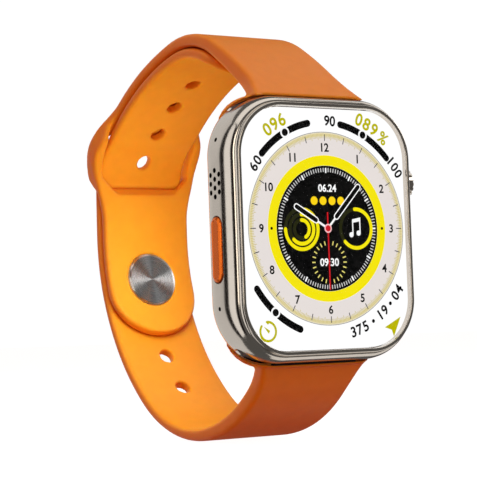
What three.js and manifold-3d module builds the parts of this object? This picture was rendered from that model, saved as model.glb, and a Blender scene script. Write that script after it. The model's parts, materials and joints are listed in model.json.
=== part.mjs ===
// A rectangular smartwatch on a silicone band whose long strap is tucked through the short one and pinned.
// X runs across the watch, with the crown at +X, and Z runs up towards twelve o'clock.
// Depth is measured back from the front of the glass, and Y is the depth less TOTAL_DEPTH,
// so the origin is the middle of the flat of the rear crystal, and the screen faces -Y.
import * as THREE from "three";
import { mergeVertices } from "three/addons/utils/BufferGeometryUtils.js";
import Module from "manifold-3d";

const wasm = await Module();
wasm.setup();

// Driving dimensions in millimetres.
const TOTAL_DEPTH = 12.2; // front of the glass to the flat of the rear crystal
const CASE_BACK = 10.2; // depth of the case's rear plane
const HALF_WIDTH = 21.2;
const HALF_HEIGHT = 24.6;
const CORNER = 11.5; // corner radius of the case's widest outline
const CORNER_STEPS = 6;
const LIP_PROUD = 0.1; // how far the metal lip stands over the glass
const LIP_INSET = 2.1; // widest outline to the inner wall of the lip
const GLASS_INSET = 2.25;
const DISPLAY_INSET = 2.35;
const FRONT_FILLET = { inset: 1.3, from: 0.8, to: 4.2 };
const REAR_FILLET = 3.4;
const LEDGE_DEPTH = 2.8; // depth of the ledge that carries the display
const CAVITY = { x: 18, z: 20.3, corner: 9, back: 7.8 };
const COVER = { x: 16.6, z: 19.2, corner: 7.85, front: 9 };
const COVER_OPENING = { x: 14.8, z: 17.2, corner: 9 };
const GASKET_DEPTH = 8.6; // ledge that the rear cover's gasket lies on
const SCREW = { x: 13.05, z: 15.65, head: 1.2, shank: 0.55, tip: 5.4 };
const CRYSTAL = { radius: 13.3, flat: 6, front: 9.2, rim: 10.3 };

const GUARD = { face: 23.1, z: -0.75, length: 27.5, width: 5.9, depth: 6.25 };
const CROWN = { z: 9, depth: 6.3, radius: 3.3, face: 23.6, inner: 20.6, teeth: 20, shaft: 0.9 };
const WALL = CAVITY.x; // inner face of the side walls
const ACTION = { side: -1, z: -3.6, depth: 5.6, length: 12, width: 3.1, face: 21.65, thick: 1.25 };
const SIDE = { side: 1, z: -4.2, depth: 6.3, length: 10.5, width: 2.9, face: 23.3, thick: 1.5 };
const BUTTON_TRAVEL = 0.35;
const STEM = 0.65; // radius of a button's stem
const FIT = 0.2; // clearance round a moving piece
const LAP = 0.3; // gap between a soft piece and what it is moulded round

const CHANNEL = { radius: 1.7, depth: 6.2, z: 23.3 }; // the groove that a band lug slides into
const RELEASE = { z: 22.6, radius: 1.05, from: 9, stud: 0.6 };
const SPEAKER = { z: 8.4, pitch: 1.6, rows: [3, 4, 3], depths: [4.3, 5.65, 7], radius: 0.48 };

// The loop of the band: the line between its two layers, as arcs of a length and a turn in degrees,
// going up and down from a point at the back of the wrist.
const LOOP_BACK = { depth: 66.05, z: 2 };
const UPPER_ARCS = [[13, 3], [9, 43], [30, 31], [15, 47], [15.5, 7]];
const LOWER_ARCS = [[14, 20], [24.5, 31], [20.5, 46], [24, 46]];
const UPPER_LENGTH = UPPER_ARCS.reduce((sum, [length]) => sum + length, 0);
const LOWER_LENGTH = LOWER_ARCS.reduce((sum, [length]) => sum + length, 0);
const STRAP = { width: 21.2, backWidth: 20.7, thick: 2.1, rootThick: 3.1 };
const LAYER_GAP = 0.3;
const SLOT = { from: 10.7, to: 24, width: 21.4 };
const KEEPER = { from: 3.5, widest: 18.7, to: 30, width: 26.4 };
const TONGUE_TIP = -22.3; // stations along the loop, positive upwards from LOOP_BACK
const TAIL_TIP = 72;
const TIP_LENGTH = 7;
const PIN_STATION = -9.5;
const HOLE_PITCH = 8.7;
const HOLES = { below: 3, above: 6, radius: 1.65 };
const DISC = { radius: 5.7, thick: 0.8, recess: 0.6, shank: 1.3, head: 2.3 };
const ROOT_RUN = 5; // how far a strap runs on past the end of its arcs, into the case
const ROOT_FLARE = 1.5;
const COLLAR = { proud: 0.6, x: 17.9, fade: 20, front: 6.4, back: 9.4 };
const WEB = { halfWidth: 9.5, thick: 1, bottom: 0.5, top: 1.9 }; // of a lug, up from the middle of its rod

const TITANIUM = finish(0xa39a8e, 0.28, 0.9);
const SILICONE = finish(0xe8842c, 0.55, 0);
const ORANGE_METAL = finish(0xd9691e, 0.3, 0.6);
const GLASS = finish(0xf4f4f2, 0.05, 0);
const DARK_GLASS = finish(0x101114, 0.08, 0);
const STEEL = finish(0xb9bbbd, 0.25, 1);
const BRASS = finish(0xb48a45, 0.35, 0.9);
const RUBBER = finish(0x1b1b1c, 0.8, 0);
const BOARD = finish(0x1d4a38, 0.6, 0);
const FOIL = finish(0x2b2e33, 0.5, 0.2);
const COPPER = finish(0xb0683a, 0.35, 0.9);
const BLACK_PLASTIC = finish(0x1f2022, 0.6, 0);

function finish(color, roughness, metalness) {
  return new THREE.MeshStandardMaterial({ color, roughness, metalness });
}

function yAt(depth) {
  return depth - TOTAL_DEPTH;
}

// A closed geometry as a solid that can be joined and cut.
function solid(geometry) {
  const bare = geometry.clone();
  bare.deleteAttribute("normal");
  bare.deleteAttribute("uv");
  const merged = mergeVertices(bare, 1e-4);
  return new wasm.Manifold(
    new wasm.Mesh({
      numProp: 3,
      vertProperties: merged.getAttribute("position").array,
      triVerts: new Uint32Array(merged.index.array),
    }),
  );
}

function geometryOf(made) {
  const { vertProperties, triVerts } = made.getMesh();
  const geometry = new THREE.BufferGeometry();
  geometry.setAttribute("position", new THREE.BufferAttribute(vertProperties, 3));
  geometry.setIndex(new THREE.BufferAttribute(triVerts, 1));
  return geometry;
}

function joined(solids) {
  return solids.reduce((whole, piece) => whole.add(piece));
}

function cut(body, cutters) {
  return cutters.reduce((left, cutter) => left.subtract(cutter), body);
}

function named(name, shape, material) {
  const geometry = shape.isBufferGeometry ? shape : geometryOf(shape);
  const mesh = new THREE.Mesh(geometry, material);
  mesh.name = name;
  return mesh;
}

// The same, placed by its centre: x, depth and z.
function placed(name, shape, material, x, depth, z) {
  const mesh = named(name, shape, material);
  mesh.position.set(x, yAt(depth), z);
  return mesh;
}

// A rounded rectangle in the plane of the screen, anticlockwise from its right side.
function roundedRect(halfX, halfZ, radius) {
  const points = [];
  for (let corner = 0; corner < 4; corner++) {
    const signX = corner === 0 || corner === 3 ? 1 : -1;
    const signZ = corner < 2 ? 1 : -1;
    for (let step = 0; step <= CORNER_STEPS; step++) {
      const angle = ((corner + step / CORNER_STEPS) * Math.PI) / 2;
      const x = signX * (halfX - radius) + radius * Math.cos(angle);
      const z = signZ * (halfZ - radius) + radius * Math.sin(angle);
      points.push(new THREE.Vector2(x, z));
    }
  }
  return points;
}

function caseOutline(inset) {
  return roundedRect(HALF_WIDTH - inset, HALF_HEIGHT - inset, CORNER - inset);
}

// A turned shape whose rings are pulled out to the case's outline: the profile is [inset, depth] pairs, front to back.
function moulded(profile) {
  const rings = profile.map(([inset]) => caseOutline(inset));
  const around = rings[0].length;
  const depths = profile.map(([, depth]) => depth);
  const turned = [
    new THREE.Vector2(0, depths[0]),
    ...depths.map((depth) => new THREE.Vector2(1, depth)),
    new THREE.Vector2(0, depths.at(-1)),
  ];
  const geometry = new THREE.LatheGeometry(turned, around);
  const position = geometry.getAttribute("position");
  for (let index = 0; index < position.count; index++) {
    const step = Math.floor(index / turned.length);
    const row = index % turned.length;
    const ring = rings[row - 1];
    const point = ring ? ring[(2 * around - step) % around] : new THREE.Vector2();
    position.setXYZ(index, point.x, yAt(turned[row].y), point.y);
  }
  return geometry;
}

// A flat plate of an outline in the plane of the screen, between two depths.
function plate(points, front, back, holes = []) {
  const shape = new THREE.Shape(points);
  shape.holes = holes.map((hole) => new THREE.Path(hole));
  return new THREE.ExtrudeGeometry(shape, { depth: back - front, bevelEnabled: false })
    .rotateX(Math.PI / 2)
    .translate(0, yAt(back), 0);
}

// A rod along X or Y, centred on its own middle.
function rodX(radius, length, sides = 16) {
  return new THREE.CylinderGeometry(radius, radius, length, sides).rotateZ(Math.PI / 2);
}

function rodY(radius, length, sides = 16) {
  return new THREE.CylinderGeometry(radius, radius, length, sides);
}

function ringX(outer, inner, length) {
  return cut(solid(rodX(outer, length)), [solid(rodX(inner, length + 1))]);
}

// Moves a centred geometry to x, depth and z, as a solid for cutting or joining.
function at(geometry, x, depth, z) {
  return solid(geometry.clone().translate(x, yAt(depth), z));
}

// A pill that stands along Z and faces X, with rounded edges on both faces, centred on its middle.
function pillX(length, width, thick, edge = 0) {
  const radius = width / 2 - edge;
  const straight = (length - width) / 2;
  const shape = new THREE.Shape();
  shape.absarc(0, straight, radius, 0, Math.PI);
  shape.absarc(0, -straight, radius, Math.PI, 2 * Math.PI);
  return new THREE.ExtrudeGeometry(shape, {
    depth: thick - 2 * edge,
    curveSegments: 6,
    bevelEnabled: edge > 0,
    bevelSize: edge,
    bevelThickness: edge,
    bevelSegments: 2,
  })
    .translate(0, 0, edge - thick / 2)
    .rotateX(Math.PI / 2)
    .rotateZ(Math.PI / 2);
}

function caseProfile() {
  const { inset, from, to } = FRONT_FILLET;
  const profile = [
    [LIP_INSET, -LIP_PROUD],
    [LIP_INSET - 0.7, -LIP_PROUD],
    [inset + 0.1, from - 0.1],
  ];
  for (let step = 0; step <= 4; step++) {
    const angle = (step / 4) * (Math.PI / 2);
    profile.push([inset * (1 - Math.sin(angle)), to - (to - from) * Math.cos(angle)]);
  }
  for (let step = 0; step <= 4; step++) {
    const angle = (step / 4) * (Math.PI / 2);
    const inwards = REAR_FILLET * (1 - Math.cos(angle));
    profile.push([inwards, CASE_BACK - REAR_FILLET * (1 - Math.sin(angle))]);
  }
  return profile;
}

function caseSolid(grow = 0) {
  return solid(moulded(caseProfile().map(([inset, depth]) => [inset - grow, depth])));
}

// The raised guard round the crown and the side button.
function crownGuard() {
  const start = WALL + 0.6;
  const thick = GUARD.face - start;
  return at(
    pillX(GUARD.length, GUARD.width, thick, 1.2),
    start + thick / 2,
    GUARD.depth,
    GUARD.z,
  );
}

function screwPlaces() {
  return [[1, 1], [-1, 1], [-1, -1], [1, -1]].map(([x, z]) => [x * SCREW.x, z * SCREW.z]);
}

function screwBosses() {
  return screwPlaces().map(([x, z]) => {
    const length = GASKET_DEPTH - 4.6;
    return at(rodY(1.9, length, 12), x, GASKET_DEPTH - length / 2, z);
  });
}

// The pocket, stem hole and seal seat of a push button in a side wall.
function buttonWell({ side, z, depth, length, width, face, thick }) {
  const floor = face - thick - BUTTON_TRAVEL - 0.1;
  const pocket = pillX(length + 2 * FIT, width + 2 * FIT, 4);
  return [
    at(pocket, side * (floor + 2), depth, z),
    at(rodX(STEM + FIT, 6), side * (WALL + 2), depth, z),
    at(rodX(1.35, 2), side * WALL, depth, z),
  ];
}

function crownWell() {
  return [
    at(rodX(CROWN.radius + FIT + 0.1, 8, 24), CROWN.inner - 0.5 + 4, CROWN.depth, CROWN.z),
    at(rodX(1.95, 6), WALL, CROWN.depth, CROWN.z),
  ];
}

// The speaker holes stand in three offset columns.
function speakerHoles() {
  return SPEAKER.rows.flatMap((count, row) =>
    Array.from({ length: count }, (_, index) => {
      const z = SPEAKER.z + (index - (count - 1) / 2) * SPEAKER.pitch;
      return at(rodX(SPEAKER.radius, 6, 8), -WALL - 2, SPEAKER.depths[row], z);
    }),
  );
}

function pinholes() {
  return [
    at(rodX(0.4, 6, 8), -WALL - 2, ACTION.depth, -14.3),
    at(rodX(0.4, 6, 8), -WALL - 2, ACTION.depth, 16.4),
    at(rodX(0.45, 6, 8), WALL + 4.6, 5.2, -13.2),
  ];
}

function lugCutters() {
  return [1, -1].flatMap((up) => [
    at(rodX(CHANNEL.radius, 60, 20), 0, CHANNEL.depth, up * CHANNEL.z),
    at(rodY(RELEASE.radius + FIT, 6, 14), 0, CHANNEL.depth + 3, up * RELEASE.z),
  ]);
}

function caseFrame() {
  const hollow = [
    solid(plate(caseOutline(LIP_INSET), -2, LEDGE_DEPTH)),
    solid(plate(roundedRect(CAVITY.x, CAVITY.z, CAVITY.corner), LEDGE_DEPTH - 1, CAVITY.back)),
    solid(plate(rectOf(COVER_OPENING), CAVITY.back - 1, CASE_BACK + 1)),
    solid(plate(roundedRect(COVER.x + 0.15, COVER.z + 0.15, 8), GASKET_DEPTH, CASE_BACK + 1)),
  ];
  const shell = cut(caseSolid().add(crownGuard()), hollow);
  const screwHoles = screwPlaces().map(([x, z]) => at(rodY(SCREW.shank + 0.15, 5, 8), x, 7.6, z));
  return cut(joined([shell, ...screwBosses()]), [
    ...screwHoles,
    ...buttonWell(ACTION),
    ...buttonWell(SIDE),
    ...crownWell(),
    ...speakerHoles(),
    ...pinholes(),
    ...lugCutters(),
  ]);
}

function rectOf({ x, z, corner }) {
  return roundedRect(x, z, corner);
}

function frontGlass() {
  return moulded([
    [GLASS_INSET + 0.25, 0],
    [GLASS_INSET, 0.25],
    [GLASS_INSET, 0.7],
  ]);
}

function backCover() {
  const cover = solid(plate(rectOf(COVER), COVER.front, CASE_BACK));
  const screwSeats = screwPlaces().flatMap(([x, z]) => [
    at(rodY(SCREW.head + 0.15, 2, 14), x, CASE_BACK + 0.2, z),
    at(rodY(SCREW.shank + 0.15, 4, 8), x, CASE_BACK, z),
  ]);
  return cut(cover, [at(rodY(CRYSTAL.radius + 0.15, 6, 40), 0, CASE_BACK, 0), ...screwSeats]);
}

function backGasket() {
  const ring = solid(plate(roundedRect(16.5, 19.1, 7.8), GASKET_DEPTH + 0.03, COVER.front - 0.03, [
    roundedRect(15.2, 17.8, 9),
  ]));
  return cut(ring, screwPlaces().map(([x, z]) => at(rodY(0.8, 3, 8), x, GASKET_DEPTH, z)));
}

// The rear crystal is a low dome with a flat middle.
function sensorCrystal() {
  const profile = [new THREE.Vector2(0, CRYSTAL.front), new THREE.Vector2(CRYSTAL.radius, CRYSTAL.front)];
  for (let step = 0; step <= 5; step++) {
    const angle = (step / 5) * (Math.PI / 2);
    const radius = CRYSTAL.flat + (CRYSTAL.radius - CRYSTAL.flat) * Math.cos(angle);
    const depth = CRYSTAL.rim + (TOTAL_DEPTH - CRYSTAL.rim) * Math.sin(angle);
    profile.push(new THREE.Vector2(radius, depth));
  }
  profile.push(new THREE.Vector2(0, TOTAL_DEPTH));
  return new THREE.LatheGeometry(profile, 40).translate(0, -TOTAL_DEPTH, 0);
}

function screw() {
  const profile = [
    [0, SCREW.tip],
    [SCREW.shank * 0.6, SCREW.tip],
    [SCREW.shank, SCREW.tip + 0.5],
    [SCREW.shank, CASE_BACK - 0.75],
    [SCREW.head, CASE_BACK - 0.75],
    [SCREW.head, CASE_BACK - 0.1],
    [SCREW.head - 0.15, CASE_BACK],
    [0, CASE_BACK],
  ];
  const points = profile.map(([radius, depth]) => new THREE.Vector2(radius, depth - CASE_BACK));
  const turned = solid(new THREE.LatheGeometry(points, 12));
  const drive = solid(new THREE.CylinderGeometry(0.55, 0.55, 0.8, 6));
  return cut(turned, [drive]);
}

// The knob of the crown: square-cut teeth round a disc, with a dished face.
function crownKnob() {
  const { radius, teeth, inner, face } = CROWN;
  const shape = new THREE.Shape(
    Array.from({ length: teeth * 4 }, (_, index) => {
      const high = index % 4 < 2;
      const angle = ((Math.floor(index / 4) + [0, 0.5, 0.6, 0.9][index % 4]) / teeth) * 2 * Math.PI;
      const reach = high ? radius : radius - 0.4;
      return new THREE.Vector2(reach * Math.cos(angle), reach * Math.sin(angle));
    }),
  );
  const thick = face - inner;
  const toothed = new THREE.ExtrudeGeometry(shape, { depth: thick, bevelEnabled: false })
    .translate(0, 0, -thick / 2)
    .rotateY(Math.PI / 2);
  const dish = rodX(radius - 1, 0.5, 20).translate(thick / 2, 0, 0);
  const bore = rodX(CROWN.shaft + 0.1, 1.4).translate(-thick / 2, 0, 0);
  return cut(solid(toothed), [solid(dish), solid(bore)]);
}

function crownParts() {
  const group = new THREE.Group();
  group.position.set(0, yAt(CROWN.depth), CROWN.z);
  const add = (name, shape, material, from, to) => {
    const mesh = named(name, shape, material);
    mesh.position.x = (from + to) / 2;
    group.add(mesh);
  };
  add("crown_knob", crownKnob(), TITANIUM, CROWN.inner, CROWN.face);
  add("crown_shaft", rodX(CROWN.shaft, 5.4), STEEL, 15.8, 21.2);
  add("crown_seal", ringX(1.8, CROWN.shaft + 0.1, 0.8), RUBBER, 19.1, 19.9);
  add("crown_bush", ringX(1.85, CROWN.shaft + 0.1, 1.6), BRASS, 17.4, 19);
  add("crown_clip", ringX(1.5, CROWN.shaft + 0.05, 0.3), STEEL, 16.95, 17.25);
  add("crown_magnet", rodX(1.35, 0.6), FOIL, 15.1, 15.7);
  add("crown_thrust_plate", new THREE.BoxGeometry(0.4, 2.8, 2.8), STEEL, 14.55, 14.95);
  add("crown_switch", new THREE.BoxGeometry(1.5, 3, 3.4), BLACK_PLASTIC, 12.5, 14);
  return group;
}

// A push button with its stem, its seal and the switch behind it.
function pushButton(name, label, { side, z, depth, length, width, face, thick }, material) {
  const group = new THREE.Group();
  group.position.set(0, yAt(depth), z);
  const stemEnd = WALL - 0.9;
  const stemLength = face - thick - stemEnd;
  const cap = pillX(length, width, thick, 0.35).translate(side * (face - thick / 2), 0, 0);
  const stem = rodX(STEM, stemLength + 0.4).translate(side * (stemEnd + stemLength / 2 + 0.2), 0, 0);
  group.add(named(name, solid(cap).add(solid(stem)), material));
  const seal = named(label + "_seal", ringX(1.25, STEM + 0.1, 0.8), RUBBER);
  seal.position.x = side * (WALL + 0.45);
  const dome = named(label + "_switch", new THREE.BoxGeometry(1.4, 2.6, 4.4), BLACK_PLASTIC);
  dome.position.x = side * (stemEnd - 0.4 - 0.7);
  group.add(seal, dome);
  return group;
}

// A box with its corners at two points, each x, depth and z.
function block(name, material, from, to) {
  const size = to.map((value, axis) => value - from[axis]);
  const middle = to.map((value, axis) => (value + from[axis]) / 2);
  return placed(name, new THREE.BoxGeometry(...size), material, ...middle);
}

function electronics() {
  const coil = cut(solid(rodY(12.2, 0.5, 28)), [solid(rodY(6.7, 2, 20))]);
  return [
    named("main_board", plate(roundedRect(16.6, 18.6, 6), 3.5, 4.2), BOARD),
    block("display_connector", FOIL, [-4.5, 2.45, -16.5], [4.5, 3.4, -13.5]),
    block("chip_shield", STEEL, [-10.4, 4.3, 5], [6.6, 5.8, 17]),
    block("battery", FOIL, [-10.6, 4.4, -16.6], [10.6, 7.6, 3.8]),
    block("vibration_motor", STEEL, [-8.5, 4.4, -19.9], [8.5, 7.5, -17.2]),
    block("gps_antenna", COPPER, [-9, 4.4, 18], [9, 7.4, 19.8]),
    block("speaker_module", BLACK_PLASTIC, [-17.2, 4.4, 4.6], [-11.2, 7.6, 12.2]),
    block("speaker_mesh", STEEL, [-17.9, 3.2, 4.9], [-17.5, 7.6, 11.9]),
    block("microphone", STEEL, [-17, 4.4, -14.9], [-15.3, 6.2, -12.7]),
    placed("charging_coil", coil, COPPER, 0, 8.5, 0),
    placed("sensor_board", rodY(6.2, 0.7, 24), BOARD, 0, 8.6, 0),
  ];
}

// A lug: a rod that slides in the case's channel, and the web that joins it to the strap.
function lugSolid(up, grow = 0) {
  const rod = rodX(CHANNEL.radius - 0.12 + grow, 60, 20);
  const web = new THREE.BoxGeometry(
    2 * (WEB.halfWidth + grow),
    WEB.thick + 2 * grow,
    WEB.top - WEB.bottom + 2 * grow,
  ).translate(0, 0, (up * (WEB.top + WEB.bottom)) / 2);
  const bar = at(rod, 0, CHANNEL.depth, up * CHANNEL.z).intersect(caseSolid(-0.15));
  return bar.add(at(web, 0, CHANNEL.depth, up * CHANNEL.z));
}

function lugParts(label, up) {
  const bore = at(rodY(RELEASE.stud + 0.15, 4, 12), 0, CHANNEL.depth + 0.9, up * RELEASE.z);
  const button = at(rodY(RELEASE.radius, 3, 14), 0, RELEASE.from + 1.5, up * RELEASE.z);
  const pressed = button.intersect(caseSolid(-0.05));
  const stud = rodY(RELEASE.stud, 2.3, 12);
  return [
    named(label + "_lug", cut(lugSolid(up), [bore]), BLACK_PLASTIC),
    placed(label + "_latch_stud", stud, STEEL, 0, RELEASE.from - 0.1 - 1.15, up * RELEASE.z),
    named(label + "_release_button", pressed, TITANIUM),
  ];
}

// A point of the loop at a station: its depth, z and outward direction.
function loopPoint(station) {
  const up = station < 0 ? -1 : 1;
  const arcs = up > 0 ? UPPER_ARCS : LOWER_ARCS;
  let left = Math.abs(station);
  let heading = 0;
  let depth = LOOP_BACK.depth;
  let rise = 0;
  for (const [length, turn] of [...arcs, [ROOT_RUN * 4, 0]]) {
    const run = Math.min(left, length);
    const bend = (THREE.MathUtils.degToRad(turn) * run) / length;
    const chord = bend ? (run * Math.sin(bend / 2)) / (bend / 2) : run;
    depth -= chord * Math.sin(heading + bend / 2);
    rise += chord * Math.cos(heading + bend / 2);
    heading += bend;
    left -= run;
  }
  return {
    depth,
    z: LOOP_BACK.z + up * rise,
    outDepth: Math.cos(heading),
    outZ: up * Math.sin(heading),
  };
}

// A bar bent along the loop: half width, half thickness and offset from the line are functions of the station,
// and the edges are drawn in by a share of the half thickness.
function bentBar(from, to, stepLength, halfWidth, halfThick, offset, rounding = 0.7) {
  const steps = Math.round((to - from) / stepLength);
  const geometry = new THREE.BoxGeometry(2, 2, 1, 4, 2, steps);
  const position = geometry.getAttribute("position");
  for (let index = 0; index < position.count; index++) {
    const side = position.getX(index);
    const layer = position.getY(index);
    const station = THREE.MathUtils.lerp(from, to, position.getZ(index) + 0.5);
    const { depth, z, outDepth, outZ } = loopPoint(station);
    const thick = halfThick(station);
    const rounded = Math.abs(layer) * rounding * thick;
    const out = offset(station) + layer * thick;
    position.setXYZ(
      index,
      side * (halfWidth(station) - rounded),
      yAt(depth + out * outDepth),
      z + out * outZ,
    );
  }
  return geometry;
}

// 1 where the upper strap is the outer layer, -1 where it is the inner one.
function layerSide(station) {
  return 2 * THREE.MathUtils.smoothstep(station, SLOT.from + 0.2, SLOT.to - 0.2) - 1;
}

function halfThickness(station) {
  const along = THREE.MathUtils.smoothstep(Math.abs(station), 45, 82);
  return THREE.MathUtils.lerp(STRAP.thick, STRAP.rootThick, along) / 2;
}

// How far the middle of the short strap lies out from the loop's line.
function layerOffset(station) {
  return (layerSide(station) * (STRAP.thick + LAYER_GAP)) / 2;
}

// Half the tip's width follows a quarter circle.
function tipFactor(distance) {
  const share = THREE.MathUtils.clamp(distance / TIP_LENGTH, 0, 1);
  return 0.3 + 0.7 * Math.sqrt(1 - (1 - share) ** 2);
}

function strapHalfWidth(station) {
  const along = THREE.MathUtils.smoothstep(Math.abs(station), 10, 60);
  return THREE.MathUtils.lerp(STRAP.backWidth, STRAP.width, along) / 2;
}

function rootFlare(station, length) {
  const share = THREE.MathUtils.clamp((Math.abs(station) - length + 5) / (ROOT_RUN + 5), 0, 1);
  return ROOT_FLARE * share ** 2;
}

function upperHalfWidth(station) {
  const rise = THREE.MathUtils.smoothstep(station, KEEPER.from, KEEPER.widest);
  const fall = 1 - THREE.MathUtils.smoothstep(station, KEEPER.widest, KEEPER.to);
  const keeper = Math.min(rise, fall) * (KEEPER.width / 2 - strapHalfWidth(station));
  const wide = strapHalfWidth(station) + keeper + rootFlare(station, UPPER_LENGTH);
  return wide * tipFactor(station - TONGUE_TIP);
}

function lowerHalfWidth(station) {
  const wide = strapHalfWidth(station) + rootFlare(Math.min(station, 0), LOWER_LENGTH);
  return wide * tipFactor(TAIL_TIP - station);
}

// A cutter or piece made round the loop's line at a station, with +Y pointing out of the loop.
function placeOnLoop(object, station) {
  const { depth, z, outDepth, outZ } = loopPoint(station);
  object.position.set(0, yAt(depth), z);
  object.rotation.x = Math.atan2(outZ, outDepth);
  object.updateMatrix();
  return object;
}

function loopCutter(geometry, station) {
  const { matrix } = placeOnLoop(new THREE.Object3D(), station);
  return solid(geometry.clone().applyMatrix4(matrix));
}

// The collar wraps the case's end: the case's outline, swollen most at the middle.
function collar(up) {
  const rim = [];
  for (const point of caseOutline(0)) {
    if (point.y < 15 || Math.abs(point.x) > COLLAR.x) continue;
    const swell = COLLAR.proud * (1 - (point.x / COLLAR.fade) ** 2) + LAP;
    const length = Math.hypot(point.x / 2, point.y);
    rim.push(new THREE.Vector2(point.x + (swell * point.x) / 2 / length, point.y + (swell * point.y) / length));
  }
  rim.push(new THREE.Vector2(-13, 14), new THREE.Vector2(13, 14));
  const band = solid(plate(rim, COLLAR.front, COLLAR.back));
  return up > 0 ? band : band.rotate([0, 180, 0]);
}

function strapRoot(bar, up) {
  return joined([bar, collar(up)]).subtract(caseSolid(LAP)).subtract(lugSolid(up, 0.15));
}

// The short strap: outside the long one above its slot, and its tongue inside below it.
function upperStrap() {
  const bar = bentBar(
    TONGUE_TIP,
    UPPER_LENGTH + ROOT_RUN,
    2.1,
    upperHalfWidth,
    halfThickness,
    (station) => layerOffset(station) + halfThickness(station) - STRAP.thick / 2,
  );
  const slot = bentBar(SLOT.from, SLOT.to, 2.1, () => SLOT.width / 2, () => 3, () => 0, 0);
  const recess = rodY(DISC.radius + 0.15, 2, 32).translate(0, discFloor() - 1, 0);
  const body = cut(solid(bar), [solid(slot)]);
  return strapRoot(
    cut(body, [
      loopCutter(recess, PIN_STATION),
      loopCutter(rodY(DISC.shank + 0.2, 6, 12).translate(0, -2, 0), PIN_STATION),
    ]),
    1,
  );
}

// The wrist side of the tongue, less the recess for the disc.
function discFloor() {
  return -LAYER_GAP / 2 - STRAP.thick + DISC.recess;
}

// The long strap: pinned outside the tongue, then through the slot and up inside the short strap.
function lowerStrap() {
  const bar = bentBar(
    -LOWER_LENGTH - ROOT_RUN,
    TAIL_TIP,
    2.1,
    lowerHalfWidth,
    (station) => halfThickness(Math.min(station, 0)),
    (station) => -layerOffset(station) + halfThickness(Math.min(station, 0)) - STRAP.thick / 2,
  );
  const holes = [];
  for (let index = -HOLES.below; index <= HOLES.above; index++)
    holes.push(loopCutter(rodY(HOLES.radius, 8, 12), PIN_STATION + index * HOLE_PITCH));
  return strapRoot(cut(solid(bar), holes), -1);
}

// The metal closure: a disc on the wrist side, its shank through both layers, and a cap outside.
function closure() {
  const group = placeOnLoop(new THREE.Group(), PIN_STATION);
  const outside = LAYER_GAP / 2 + STRAP.thick;
  const discTop = discFloor() - 0.05;
  const disc = new THREE.CylinderGeometry(DISC.radius, DISC.radius - 0.2, DISC.thick, 32);
  disc.translate(0, discTop - DISC.thick / 2, 0);
  const shankLength = outside - discTop + 0.4;
  const shank = rodY(DISC.shank, shankLength, 12).translate(0, discTop + shankLength / 2 - 0.2, 0);
  group.add(named("closure_disc", solid(disc).add(solid(shank)), STEEL));
  const cap = new THREE.CylinderGeometry(DISC.head - 0.4, DISC.head, 0.7, 20);
  group.add(named("closure_cap", cap.translate(0, outside + 0.3 + 0.35, 0), STEEL));
  return group;
}

function cover() {
  const pieces = [
    named("back_cover", backCover(), TITANIUM),
    named("back_gasket", backGasket(), RUBBER),
    named("sensor_crystal", sensorCrystal(), DARK_GLASS),
  ];
  screwPlaces().forEach(([x, z], index) => {
    pieces.push(placed(`back_screw_${index + 1}`, screw(), STEEL, x, CASE_BACK, z));
  });
  return pieces;
}

function front() {
  const window = rectOf({ x: 18.2, z: 20.6, corner: 8 });
  return [
    named("front_glass", frontGlass(), GLASS),
    named("display_panel", plate(caseOutline(DISPLAY_INSET), 0.85, 2.35), DARK_GLASS),
    named("display_gasket", plate(caseOutline(GLASS_INSET), 2.4, 2.75, [window]), RUBBER),
  ];
}

const watch = new THREE.Group();
watch.add(named("case_frame", caseFrame(), TITANIUM));
watch.add(...front());
watch.add(...cover());
watch.add(...electronics());
watch.add(crownParts());
watch.add(pushButton("action_button", "action", ACTION, ORANGE_METAL));
watch.add(pushButton("side_button", "side", SIDE, TITANIUM));
watch.add(...lugParts("upper", 1), ...lugParts("lower", -1));
watch.add(named("upper_strap", upperStrap(), SILICONE), named("lower_strap", lowerStrap(), SILICONE));
watch.add(closure());

export default watch;
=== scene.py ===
"""A rectangular smartwatch on an orange silicone band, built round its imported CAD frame.

X runs towards the crown, Z up towards twelve o'clock, and Y from the screen back into the loop of the band.
Shapes are worked out in millimetres and made in metres. Depth is measured back from the front of the glass.
"""

import json
import math

import bmesh
import bpy
from mathutils import Matrix, Vector


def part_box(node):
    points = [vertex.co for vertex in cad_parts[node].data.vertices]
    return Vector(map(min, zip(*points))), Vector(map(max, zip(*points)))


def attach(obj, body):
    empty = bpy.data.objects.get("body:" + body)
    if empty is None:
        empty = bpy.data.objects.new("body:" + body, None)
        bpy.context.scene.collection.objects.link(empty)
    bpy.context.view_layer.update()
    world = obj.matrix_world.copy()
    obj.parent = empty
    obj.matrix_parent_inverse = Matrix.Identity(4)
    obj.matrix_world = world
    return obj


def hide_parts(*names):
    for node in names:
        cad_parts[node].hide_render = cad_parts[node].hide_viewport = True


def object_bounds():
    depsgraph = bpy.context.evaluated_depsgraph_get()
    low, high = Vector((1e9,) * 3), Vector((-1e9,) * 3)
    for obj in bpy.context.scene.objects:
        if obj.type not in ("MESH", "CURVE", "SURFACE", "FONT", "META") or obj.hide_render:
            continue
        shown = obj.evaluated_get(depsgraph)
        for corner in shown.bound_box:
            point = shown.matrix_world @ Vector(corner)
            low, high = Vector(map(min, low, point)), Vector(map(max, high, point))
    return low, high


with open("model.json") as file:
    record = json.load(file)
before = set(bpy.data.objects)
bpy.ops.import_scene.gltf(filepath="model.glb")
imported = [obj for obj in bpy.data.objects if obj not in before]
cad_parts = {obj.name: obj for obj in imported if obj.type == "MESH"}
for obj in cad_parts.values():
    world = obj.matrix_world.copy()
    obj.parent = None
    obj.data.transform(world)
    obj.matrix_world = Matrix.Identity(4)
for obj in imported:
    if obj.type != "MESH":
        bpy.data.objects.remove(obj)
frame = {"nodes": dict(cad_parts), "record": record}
CAD_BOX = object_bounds()
MM = 0.001
QUARTERS = ((1, 1), (-1, 1), (-1, -1), (1, -1))


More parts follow.
